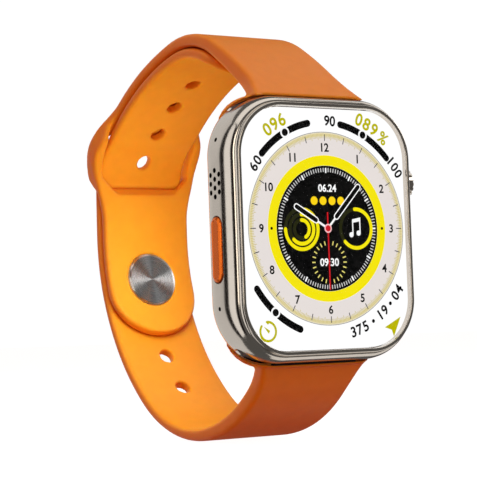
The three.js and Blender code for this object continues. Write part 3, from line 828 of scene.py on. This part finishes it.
def closure_disc():
    """The steel disc on the wrist side with its shank, turned about its own Z."""
    radius, top = DISC["radius"], disc_floor() - 0.05
    low = top - DISC["thick"]
    profile = [(0.05, low), (radius - 0.75, low), (radius - 0.6, low), (radius - 0.55, low)]
    profile += [(radius - 0.4, low + 0.03), (radius - 0.3, low + 0.14)]
    profile += [(radius - 0.08, low + 0.2), (radius, low + 0.34), (radius, top), (DISC["shank"], top)]
    profile += [(DISC["shank"], LAYER_GAP / 2 + STRAP["thick"] + 0.2)]
    return on_pin("disc", profile, 96)


def closure_cap():
    """The riveted cap outside the band."""
    base, radius = LAYER_GAP / 2 + STRAP["thick"] + 0.3, DISC["head"]
    profile = [(radius - 0.1, base), (radius, base + 0.1), (radius, base + 0.3)]
    profile += [(radius - 0.4 * (1 - math.cos(angle)) - 0.1, base + 0.3 + 0.38 * math.sin(angle))
                for angle in quarter_turn(6)[1:]]
    profile += [(radius - 0.8, base + 0.69), (radius - 0.95, base + 0.6), (0.05, base + 0.6)]
    return on_pin("cap", profile, 64)


# ---------------------------------------------------------------- the dial


def polar(radius, degrees, centre=(0, 0)):
    """A point at an angle clockwise from twelve."""
    angle = math.radians(degrees)
    return (centre[0] + radius * math.sin(angle), centre[1] + radius * math.cos(angle))


def flat_disc(centre, radius, sides=48):
    points = [polar(radius, 360 * i / sides, centre) for i in range(sides)]
    return points, [tuple(range(sides))]


def flat_ring(inner, outer, centre=(0, 0), sides=144):
    points = [polar(radius, 360 * i / sides, centre) for i in range(sides) for radius in (inner, outer)]
    faces = [(2 * i, 2 * i + 1, (2 * i + 3) % (2 * sides), (2 * i + 2) % (2 * sides)) for i in range(sides)]
    return points, faces


def flat_arc(inner, outer, start, end, centre=(0, 0)):
    """A stretch of a ring with round ends, clockwise from start to end."""
    middle, half = (inner + outer) / 2, (outer - inner) / 2
    steps = max(8, round(abs(end - start) / 3))
    points = [polar(outer, mix(start, end, i / steps), centre) for i in range(steps + 1)]
    tip = polar(middle, end, centre)
    points += [polar(half, end + 180 * i / 8, tip) for i in range(1, 8)]
    points += [polar(inner, mix(end, start, i / steps), centre) for i in range(steps + 1)]
    tip = polar(middle, start, centre)
    points += [polar(half, start + 180 + 180 * i / 8, tip) for i in range(1, 8)]
    return points, [tuple(range(len(points)))]


def flat_pill(start, end, width):
    """A bar with round ends between two points."""
    heading = math.degrees(math.atan2(end[0] - start[0], end[1] - start[1]))
    points = [polar(width / 2, heading - 90 + 180 * i / 10, end) for i in range(11)]
    points += [polar(width / 2, heading + 90 + 180 * i / 10, start) for i in range(11)]
    return points, [tuple(range(22))]


def flat_bar(degrees, inner, outer, width, centre=(0, 0)):
    """A square-ended tick along a radius."""
    tip, foot = polar(outer, degrees, centre), polar(inner, degrees, centre)
    corners = ((foot, -90), (tip, -90), (tip, 90), (foot, 90))
    return [polar(width / 2, degrees + side, end) for end, side in corners], [(0, 1, 2, 3)]


def flat_shape(*points):
    return list(points), [tuple(range(len(points)))]


def flat_digits(text, cap_height, centre, turn=0):
    """Characters with their middle at centre, turned clockwise by turn degrees."""
    curve = bpy.data.curves.new("digits", "FONT")
    curve.body = text
    curve.align_x, curve.align_y = "CENTER", "CENTER"
    curve.size = 1
    curve.resolution_u = 5
    curve.offset = DIGIT_WEIGHT
    holder = link("digits", curve)
    mesh = evaluated(holder)
    clean(mesh, weld=1e-5, turn=False)
    across = [vertex.co.x for vertex in mesh.vertices]
    upwards = [vertex.co.y for vertex in mesh.vertices]
    low, high, left, right = min(upwards), max(upwards), min(across), max(across)
    scale = cap_height / (high - low)
    cos, sin = math.cos(math.radians(turn)), math.sin(math.radians(turn))
    points = []
    for x, z in zip(across, upwards):
        x = (x - (left + right) / 2) * scale
        z = (z - (low + high) / 2) * scale
        points.append((centre[0] + x * cos + z * sin, centre[1] - x * sin + z * cos))
    faces = [tuple(face.vertices) for face in mesh.polygons]
    bpy.data.meshes.remove(mesh)
    bpy.data.objects.remove(holder)
    return points, faces


def dial_piece(name, layers):
    """Thickens flat shapes into thin closed slabs: layers maps a height over the display to its shapes."""
    points, faces = [], []
    for level, shapes in layers.items():
        front = PANEL_LOW.y - DIAL_STEP * (level + 1)
        back = front + DIAL_STEP * 0.7
        for flat, polygons in shapes:
            base, count = len(points), len(flat)
            points += [(x + DIAL_X, front, z) for x, z in flat]
            points += [(x + DIAL_X, back, z) for x, z in flat]
            edges = set()
            for polygon in polygons:
                faces.append(tuple(base + i for i in polygon))
                faces.append(tuple(base + count + i for i in reversed(polygon)))
                edges |= {(polygon[i - 1], polygon[i]) for i in range(len(polygon))}
            faces += [(base + a, base + b, base + count + b, base + count + a)
                      for a, b in sorted(edges) if (b, a) not in edges]
    return solid(name, points, faces, weld=0)


def digits_along(text, cap_height, radius, middle, pitch, inward=False):
    """Characters set one by one round the dial, tops outwards, or inwards where they read from below."""
    sign, turn = (-1, 180) if inward else (1, 0)
    half = (len(text) - 1) / 2
    angles = [middle + sign * (index - half) * pitch for index in range(len(text))]
    return [flat_digits(character, cap_height, polar(radius, angle), angle + turn)
            for character, angle in zip(text, angles)]


def hand_bars(width):
    return [flat_pill(polar(start, angle), polar(end, angle), width) for angle, start, end in HANDS]


def gauge_knobs(radius, sides):
    return [flat_disc(polar(GAUGE_RADIUS, knob), radius, sides) for start, end, knob in GAUGES]


def black_marks():
    """The gauges with their knobs, the black numbers on white and the middle disc with what lies on it."""
    ground = [flat_arc(GAUGE_RADIUS - 0.65, GAUGE_RADIUS + 0.65, min(start, end), max(start, end))
              for start, end, knob in GAUGES]
    ground.append(flat_disc((0, 0), 11.66, 144))
    ground.append(flat_digits("90", 2.0, (1.38, 20.04), 4))
    for text, cap_height, radius, middle, pitch, inward in RIM_DIGITS:
        ground += digits_along(text, cap_height, radius, middle, pitch, inward)
    ground += [flat_disc(polar(20.05, angle), 0.36, 24) for angle in (150.4, 135.1)]
    pins = [flat_disc((side * 12.8, 0), 0.27, 20) for side in (1, -1)]
    return {0: ground, 3: gauge_knobs(0.68, 32) + pins, 5: hand_bars(0.82)}


def cream_marks():
    """The cream ring behind the numbers."""
    return {0: [flat_ring(13.64, 17.08)]}


def rim_marks():
    """The thin ring round the minute scale."""
    return {0: [flat_ring(17.84, 17.98)]}


def pale_marks():
    """The faint ring under the minute scale."""
    return {0: [flat_ring(17.1, 17.8)]}


def khaki_marks():
    """A fine tick at every degree between the dark ones, with a longer tick at each fifth."""
    return {1: [flat_bar(degrees, 16.75 if degrees % 5 else 16.45, 17.6, 0.11)
                for degrees in range(360) if degrees % 15]}


def ink_marks():
    """The numbers from 1 to 12 and the dark ticks."""
    marks = [flat_bar(15 * i, 16.28, 17.5, 0.16) for i in range(24)]
    marks += [flat_digits(str(hour), 1.62, polar(15.05, 30 * hour)) for hour in range(1, 13)]
    return {2: marks}


def yellow_marks():
    """The yellow ring, and the arcs of the two small gauges."""
    arcs = [flat_arc(inner, outer, start, end, centre)
            for centre, inner, outer, start, end, sides in SMALL_RINGS]
    return {0: [flat_ring(11.68, 13.6)], 2: arcs}


def track_marks():
    """The dark rings that the small gauges' arcs run along."""
    return {1: [flat_ring(inner, outer, centre, sides)
                for centre, inner, outer, start, end, sides in SMALL_RINGS]}


def ray_marks():
    """The rays round the small time."""
    return {1: [flat_bar(15 * i, 3.24, 4.0, 0.22, LOWER_DIAL) for i in range(24) if i % 12]}


def amber_marks():
    """The four round lights under the date."""
    return {1: [flat_disc((x, 5.13), 0.8, 36) for x in (-2.93, -0.88, 1.21, 3.24)]}


def grey_marks():
    """The fine ticks of the middle disc."""
    return {1: [flat_bar(3 * i, 10.5, 11.25, 0.2) for i in range(120) if i % 10]}


def note_marks():
    """A pair of quavers."""
    x, z = RIGHT_DIAL
    stems = [flat_bar(0, -1.1, 1.5, 0.26, (x - 0.75, z)), flat_bar(0, -0.8, 1.85, 0.26, (x + 0.95, z))]
    beam = flat_shape((x - 0.88, z + 1.05), (x - 0.88, z + 1.72), (x + 1.08, z + 2.1), (x + 1.08, z + 1.4))
    heads = [flat_disc((x - 1.12, z - 1.15), 0.5, 24), flat_disc((x + 0.58, z - 0.85), 0.5, 24)]
    return stems, beam, heads


def white_marks():
    """The bold minutes, the small time, the note, and the hands' outlines."""
    stems, beam, heads = note_marks()
    first = [flat_bar(30 * i, 10.3, 11.25, 0.32) for i in range(12)]
    first.append(flat_digits("06.24", 1.45, (0.2, 7.5)))
    first.append(flat_digits("09:30", 1.5, LOWER_DIAL))
    hands = hand_bars(1.25) + [flat_bar(angle, 0, 2.6, 0.42) for angle, start, end in HANDS]
    return {1: first + stems, 2: gauge_knobs(1.02, 40) + heads, 3: [beam], 4: hands}


def olive_marks():
    """The readings, the timer and the pointer at the lower right."""
    marks = digits_along("096", 2.5, 22.2, -30.8, 4.9)
    marks += digits_along("089", 2.5, 22.15, 27.2, 5.1)
    marks.append(flat_digits("%", 2.4, polar(22.1, 39), 39))
    marks.append(flat_arc(1.5, 1.95, -8, 305, TIMER))
    marks.append(flat_bar(0, 1.3, 1.9, 0.4, TIMER))
    x, z = TIMER
    marks.append(flat_shape((x - 0.95, z + 0.95), (x + 0.42, z + 0.12), (x + 0.12, z - 0.42)))
    marks.append(flat_shape((16.49, -16.8), (14.72, -20.52), (14.24, -19.21), (12.61, -18.69)))
    return {0: marks}


def red_marks():
    """The second hand with its pin."""
    return {6: [flat_bar(180, -3, 11.38, 0.3)], 8: [flat_disc((0, 0), 0.58, 32)]}


def hub_marks():
    """The pale hub of the second hand."""
    return {7: [flat_disc((0, 0), 0.85, 36)]}


# ---------------------------------------------------------------- materials


def new_material(name):
    """A material whose tree has only a Principled shader and its output."""
    material = bpy.data.materials.new(name)
    material.use_nodes = True
    return material, material.node_tree, material.node_tree.nodes["Principled BSDF"]


def put(node, values):
    for name, value in values.items():
        node.inputs[name].default_value = value


def add_node(tree, kind, values, sources):
    """A new node with its input values, and the sockets that feed it."""
    node = tree.nodes.new("ShaderNode" + kind)
    put(node, values)
    feed(tree, node, sources)
    return node


def feed(tree, node, sources):
    for name, socket in sources.items():
        tree.links.new(socket, node.inputs[name])


def own_space(tree):
    """Coordinates in the piece's own space."""
    return tree.nodes.new("ShaderNodeTexCoord").outputs["Object"]


def noise(tree, scale, detail=3, roughness=0.5, stretch=None):
    """Procedural noise in the piece's own space, in features per metre."""
    place = own_space(tree)
    if stretch:
        place = add_node(tree, "Mapping", {"Scale": stretch}, {"Vector": place}).outputs["Vector"]
    settings = {"Scale": scale, "Detail": detail, "Roughness": roughness}
    return add_node(tree, "TexNoise", settings, {"Vector": place}).outputs["Fac"]


def ramp(tree, factor, low, high):
    """A colour or grey between two values, as the factor goes through its middle range."""
    node = add_node(tree, "ValToRGB", {}, {"Fac": factor})
    for stop, position, colour in zip(node.color_ramp.elements, (0.35, 0.65), (low, high)):
        stop.position = position
        stop.color = colour
    return node.outputs["Color"]


def grey(value):
    return (value, value, value, 1)


def shade(colour, amount):
    return tuple(channel * amount for channel in colour[:3]) + (1,)


def add_bump(tree, shader, height, strength, distance):
    bump = add_node(tree, "Bump", {"Strength": strength, "Distance": distance}, {"Height": height})
    feed(tree, shader, {"Normal": bump.outputs["Normal"]})


def surface(name, colour, rough, metallic=0, vary=0.05, grain=3000, bump=0.15, stretch=None,
            spread_rough=0.06, more=None):
    """A solid finish with a little variation of colour and roughness and a fine grain."""
    material, tree, shader = new_material(name)
    broad = noise(tree, grain / 12, 4)
    fine = noise(tree, grain, 3, 0.6, stretch)
    feed(tree, shader, {
        "Base Color": ramp(tree, broad, shade(colour, 1 - vary), shade(colour, 1 + vary)),
        "Roughness": ramp(tree, fine, grey(rough - spread_rough), grey(rough + spread_rough)),
    })
    put(shader, {"Metallic": metallic, **(more or {})})
    add_bump(tree, shader, fine, bump, 0.00002)
    return material


def silicone():
    return surface("silicone", linear(242, 160, 40), 0.44, vary=0.02, grain=5000, bump=0.12, more={
        "Subsurface Weight": 0.3,
        "Subsurface Radius": (1, 0.3, 0.08),
        "Subsurface Scale": 0.0015,
        "Sheen Weight": 0.06,
        "Sheen Roughness": 0.45,
        "Sheen Tint": linear(255, 222, 190),
        "Specular IOR Level": 0.24,
    })


def radial_steel():
    """Circular brushing: highlights turn into wedges about the disc's own axis."""
    material, tree, shader = new_material("radial_steel")
    flatten = add_node(tree, "VectorMath", {1: (1, 1, 0)}, {0: own_space(tree)})
    flatten.operation = "MULTIPLY"
    radial = add_node(tree, "VectorMath", {}, {0: flatten.outputs["Vector"]})
    radial.operation = "LENGTH"
    grooves = tree.nodes.new("ShaderNodeTexNoise")
    grooves.noise_dimensions = "1D"
    put(grooves, {"Scale": 9000, "Detail": 2})
    feed(tree, grooves, {"W": radial.outputs["Value"]})
    tangent = tree.nodes.new("ShaderNodeTangent")
    tangent.direction_type = "RADIAL"
    tangent.axis = "Z"
    feed(tree, shader, {
        "Base Color": ramp(tree, grooves.outputs["Fac"], grey(0.62), grey(0.8)),
        "Roughness": ramp(tree, grooves.outputs["Fac"], grey(0.24), grey(0.34)),
        "Tangent": tangent.outputs["Tangent"],
    })
    put(shader, {"Metallic": 1, "Anisotropic": 1, "Anisotropic Rotation": 0.25})
    add_bump(tree, shader, grooves.outputs["Fac"], 0.1, 0.00001)
    return material


def clear_crystal():
    """Coated glass that reflects little."""
    material, tree, shader = new_material("clear_crystal")
    coating = noise(tree, 120)
    feed(tree, shader, {"Base Color": ramp(tree, coating, (0.99, 0.995, 1, 1), (1, 1, 1, 1))})
    put(shader, {"Roughness": 0, "Transmission Weight": 1, "IOR": 1.03})
    return material


def black_crystal():
    return surface("black_crystal", (0.012, 0.012, 0.016, 1), 0.07, vary=0.1, grain=600, bump=0.01,
                   spread_rough=0.02, more={"Coat Weight": 0.6})


def window_glass():
    return surface("window_glass", (0.05, 0.02, 0.03, 1), 0.12, vary=0.3, grain=900, bump=0.02,
                   spread_rough=0.03, more={"Coat Weight": 1})


def lit(name, colour, strength=1.0):
    """A lit part of the display, with a faint grid of pixels in its light."""
    material, tree, shader = new_material(name)
    pixels = noise(tree, 9000, 1)
    feed(tree, shader, {"Emission Color": ramp(tree, pixels, shade(colour, 0.985), colour)})
    put(shader, {
        "Emission Strength": strength,
        "Base Color": (0.004, 0.004, 0.004, 1),
        "Roughness": 0.5,
        "Specular IOR Level": 0,
    })
    return material


def circuit_board():
    """Solder mask with the shadow of its copper tracks."""
    material, tree, shader = new_material("circuit_board")
    turn = add_node(tree, "Mapping", {"Rotation": (math.pi / 2, 0, 0)}, {"Vector": own_space(tree)})
    tracks = add_node(tree, "TexBrick", {
        "Scale": 400,
        "Mortar Size": 0.03,
        "Color1": (0.03, 0.13, 0.07, 1),
        "Color2": (0.02, 0.1, 0.055, 1),
        "Mortar": (0.06, 0.22, 0.1, 1),
    }, {"Vector": turn.outputs["Vector"]})
    feed(tree, shader, {
        "Base Color": tracks.outputs["Color"],
        "Roughness": ramp(tree, noise(tree, 2500), grey(0.35), grey(0.5)),
    })
    return material


def make_materials():
    """The finish of each material slot."""
    return {
        "case_metal": surface("titanium", linear(208, 198, 186), 0.15, 1, vary=0.02, grain=4000,
                              bump=0.03, spread_rough=0.02),
        "front_crystal": clear_crystal(),
        "rear_crystal": black_crystal(),
        "band_silicone": silicone(),
        "orange_metal": surface("orange_anodised", linear(236, 112, 30), 0.28, 0.85, vary=0.03,
                                grain=4000, bump=0.01, spread_rough=0.02),
        "clasp_steel": radial_steel(),
        "fastener_steel": surface("steel", (0.5, 0.5, 0.51, 1), 0.28, 1, grain=2500, bump=0.05),
        "brass": surface("brass", (0.62, 0.43, 0.18, 1), 0.3, 1, grain=2500, bump=0.05),
        "seal_rubber": surface("seal_rubber", (0.02, 0.02, 0.02, 1), 0.75, vary=0.15, grain=2500),
        "circuit_board": circuit_board(),
        "battery_foil": surface("battery_foil", (0.05, 0.052, 0.06, 1), 0.4, 0.3, vary=0.12,
                                grain=1500, bump=0.4),
        "copper": surface("copper", (0.66, 0.27, 0.12, 1), 0.32, 1, grain=2500, bump=0.2,
                          stretch=(1, 1, 8)),
        "black_plastic": surface("black_plastic", (0.022, 0.022, 0.024, 1), 0.5, vary=0.1),
        "display": lit("display_white", (1, 1, 1, 1), 1.02),
    }


# ---------------------------------------------------------------- assembly


def dress(obj, material, slot, body, node=None):
    """Gives a piece its material and body, and hides the CAD node that it stands for. The slot argument is
    not used.
    """
    obj.data.materials.clear()
    obj.data.materials.append(material)
    if node:
        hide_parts(node)
    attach(obj, body)


def build_case(looks):
    metal, steel = "case_metal", "fastener_steel"
    dress(case_frame(), looks[metal], metal, "watch", "case_frame")
    dress(front_glass(), looks["front_crystal"], "front_crystal", "watch", "front_glass")
    dress(back_cover(), looks[metal], metal, "watch", "back_cover")
    dress(sensor_crystal(), looks["rear_crystal"], "rear_crystal", "watch", "sensor_crystal")
    dress(sensor_windows(), window_glass(), "rear_crystal", "watch")
    for number, (x, z) in enumerate(screw_places(), 1):
        dress(back_screw(number, x, z), looks[steel], steel, "watch", "back_screw_%d" % number)
    dress(crown_knob(), looks[metal], metal, "crown", "crown_knob")
    for label, button, slot in (("action", ACTION, "orange_metal"), ("side", SIDE, metal)):
        node = label + "_button"
        dress(push_button(label, button), looks[slot], slot, node, node)
    for label, up in (("upper", 1), ("lower", -1)):
        body = label + "_release"
        dress(release_button(label, up), looks[metal], metal, body, body + "_button")


def build_dial(looks):
    dress(display_panel(), looks["display"], "display", "watch", "display_panel")
    palette = (
        ("dial_black", black_marks(), linear(4, 4, 4)),
        ("dial_cream", cream_marks(), linear(231, 223, 219)),
        ("dial_rim", rim_marks(), linear(150, 146, 140)),
        ("dial_pale", pale_marks(), linear(228, 215, 170)),
        ("dial_khaki", khaki_marks(), linear(203, 188, 112)),
        ("dial_ink", ink_marks(), linear(8, 8, 8)),
        ("dial_yellow", yellow_marks(), linear(246, 230, 8)),
        ("dial_tracks", track_marks(), linear(36, 38, 12)),
        ("dial_rays", ray_marks(), linear(236, 224, 120)),
        ("dial_amber", amber_marks(), linear(255, 214, 16)),
        ("dial_grey", grey_marks(), linear(205, 205, 205)),
        ("dial_white", white_marks(), linear(250, 250, 250)),
        ("dial_olive", olive_marks(), linear(188, 182, 0)),
        ("dial_red", red_marks(), linear(205, 24, 32)),
        ("dial_hub", hub_marks(), linear(250, 190, 195)),
    )
    for name, layers, colour in palette:
        dress(dial_piece(name, layers), lit(name, colour), "display", "watch")


def build_band(looks):
    voxel = 0.34
    rubber, steel = "band_silicone", "clasp_steel"
    dress(upper_strap(voxel), looks[rubber], rubber, "watch", "upper_strap")
    dress(lower_strap(voxel), looks[rubber], rubber, "watch", "lower_strap")
    dress(closure_disc(), looks[steel], steel, "watch", "closure_disc")
    dress(closure_cap(), looks[steel], steel, "watch", "closure_cap")


def dress_carried_nodes(looks):
    """The CAD pieces that show as they are take their slot's finish."""
    for subpart in frame["record"]["subparts"]:
        node = frame["nodes"][subpart["node"]]
        if not node.hide_render:
            node.data.materials.clear()
            node.data.materials.append(looks[subpart["material_slot"]])
            smooth(node, 40)


# ---------------------------------------------------------------- studio


def stage_material(name, colour, glow):
    material, tree, shader = new_material(name)
    put(shader, {
        "Base Color": colour,
        "Roughness": 0.9,
        "Emission Color": (1, 1, 1, 1),
        "Emission Strength": glow,
    })
    return material


def aim(obj, degrees, tilt, distance):
    """Places a light or card in a direction from the watch, and turns it to face the watch."""
    angle, rise = math.radians(degrees), math.radians(tilt)
    away = Vector((-math.sin(angle) * math.cos(rise), -math.cos(angle) * math.cos(rise), math.sin(rise)))
    obj.location = away * distance
    obj.rotation_mode = "QUATERNION"
    obj.rotation_quaternion = (-away).to_track_quat("-Z", "Y")


def area_light(name, degrees, tilt, distance, size, radiance, colour, matt):
    data = bpy.data.lights.new(name, "AREA")
    data.shape = "RECTANGLE"
    data.size, data.size_y = size
    data.energy = radiance * math.pi * size[0] * size[1]
    data.color = colour
    lamp = link(name, data)
    lamp.visible_diffuse = matt
    aim(lamp, degrees, tilt, distance)


def inner_light():
    """A soft glow inside the loop, which lights the wrist side of the band and shows in no reflection."""
    data = bpy.data.lights.new("inner_light", "POINT")
    data.energy = INNER_LIGHT["power"]
    data.shadow_soft_size = INNER_LIGHT["radius"] * MM
    data.color = INNER_LIGHT["colour"]
    lamp = link("inner_light", data)
    lamp.location = Vector(INNER_LIGHT["place"]) * MM
    lamp.visible_glossy = False
    lamp.visible_camera = False


def seen_only_by(obj, rays):
    for ray in ("camera", "diffuse", "glossy", "transmission", "volume_scatter", "shadow"):
        setattr(obj, "visible_" + ray, ray in rays)


def flat_card(name, half_x, half_y, height, material):
    """A level card at a height."""
    mesh = bpy.data.meshes.new(name)
    mesh.from_pydata([(x * half_x, y * half_y, height) for x, y in QUARTERS], [], [(0, 1, 2, 3)])
    card = link(name, mesh)
    card.data.materials.append(material)
    return card


def flag(name, degrees, tilt, distance, size):
    """A dark card that only reflections see, to draw a band along the polished metal."""
    material = stage_material(name, grey(FLAG_TONE), 0)
    material.node_tree.nodes["Principled BSDF"].inputs["Specular IOR Level"].default_value = 0
    card = flat_card(name, size[0] / 2, size[1] / 2, 0, material)
    aim(card, degrees, tilt, distance)
    seen_only_by(card, ("glossy", "volume_scatter"))


def dome(name, radius, glow, seen_by):
    """A plain surround that only some kinds of ray can see."""
    mesh = bpy.data.meshes.new(name)
    work = bmesh.new()
    bmesh.ops.create_uvsphere(work, u_segments=32, v_segments=16, radius=radius)
    work.to_mesh(mesh)
    work.free()
    surround = link(name, mesh)
    surround.data.materials.append(stage_material(name, grey(0), glow))
    seen_only_by(surround, seen_by)


def studio():
    scene = bpy.context.scene
    scene.view_settings.view_transform = "Standard"
    world = bpy.data.worlds.new("studio")
    scene.world = world
    world.use_nodes = True
    world.node_tree.nodes["Background"].inputs["Color"].default_value = FILL
    world.node_tree.nodes["Background"].inputs["Strength"].default_value = FILL_LIGHT
    world.cycles_visibility.glossy = False
    low = CAD_BOX[0].z - 0.0004
    look = stage_material("floor", grey(0.25), STAGE_GLOW["floor"])
    floor = flat_card("floor", STAGE_SIZE, STAGE_SIZE, low, look)
    floor.visible_diffuse = False
    floor.visible_glossy = False
    dome("backdrop", STAGE_SIZE, STAGE_GLOW["backdrop"], ("camera", "transmission"))
    dome("room", STAGE_SIZE - 0.1, ROOM_LIGHT, ("glossy",))
    for softbox in SOFTBOXES:
        area_light(*softbox)
    inner_light()
    for card in FLAGS:
        flag(*card)


def camera():
    back = Vector((math.sin(YAW) * math.cos(PITCH), -math.cos(YAW) * math.cos(PITCH), math.sin(PITCH)))
    right = Vector((0, 0, 1)).cross(back).normalized()
    up = back.cross(right)
    turned_right = right * math.cos(ROLL) + up * math.sin(ROLL)
    turned_up = up * math.cos(ROLL) - right * math.sin(ROLL)
    target = Vector((DIAL_X, PANEL_LOW.y, 0))
    place = target + (back - turned_right * AIM_RIGHT + turned_up * AIM_DOWN) * DISTANCE
    data = bpy.data.cameras.new("camera")
    data.sensor_width = 36
    data.lens = LENS
    data.clip_start, data.clip_end = 0.01, 20
    matrix = Matrix((turned_right, turned_up, back)).transposed().to_4x4()
    matrix.translation = place * MM
    obj = link("camera", data)
    obj.matrix_world = matrix
    bpy.context.scene.camera = obj


looks = make_materials()
build_case(looks)
build_dial(looks)
build_band(looks)
dress_carried_nodes(looks)
studio()
camera()
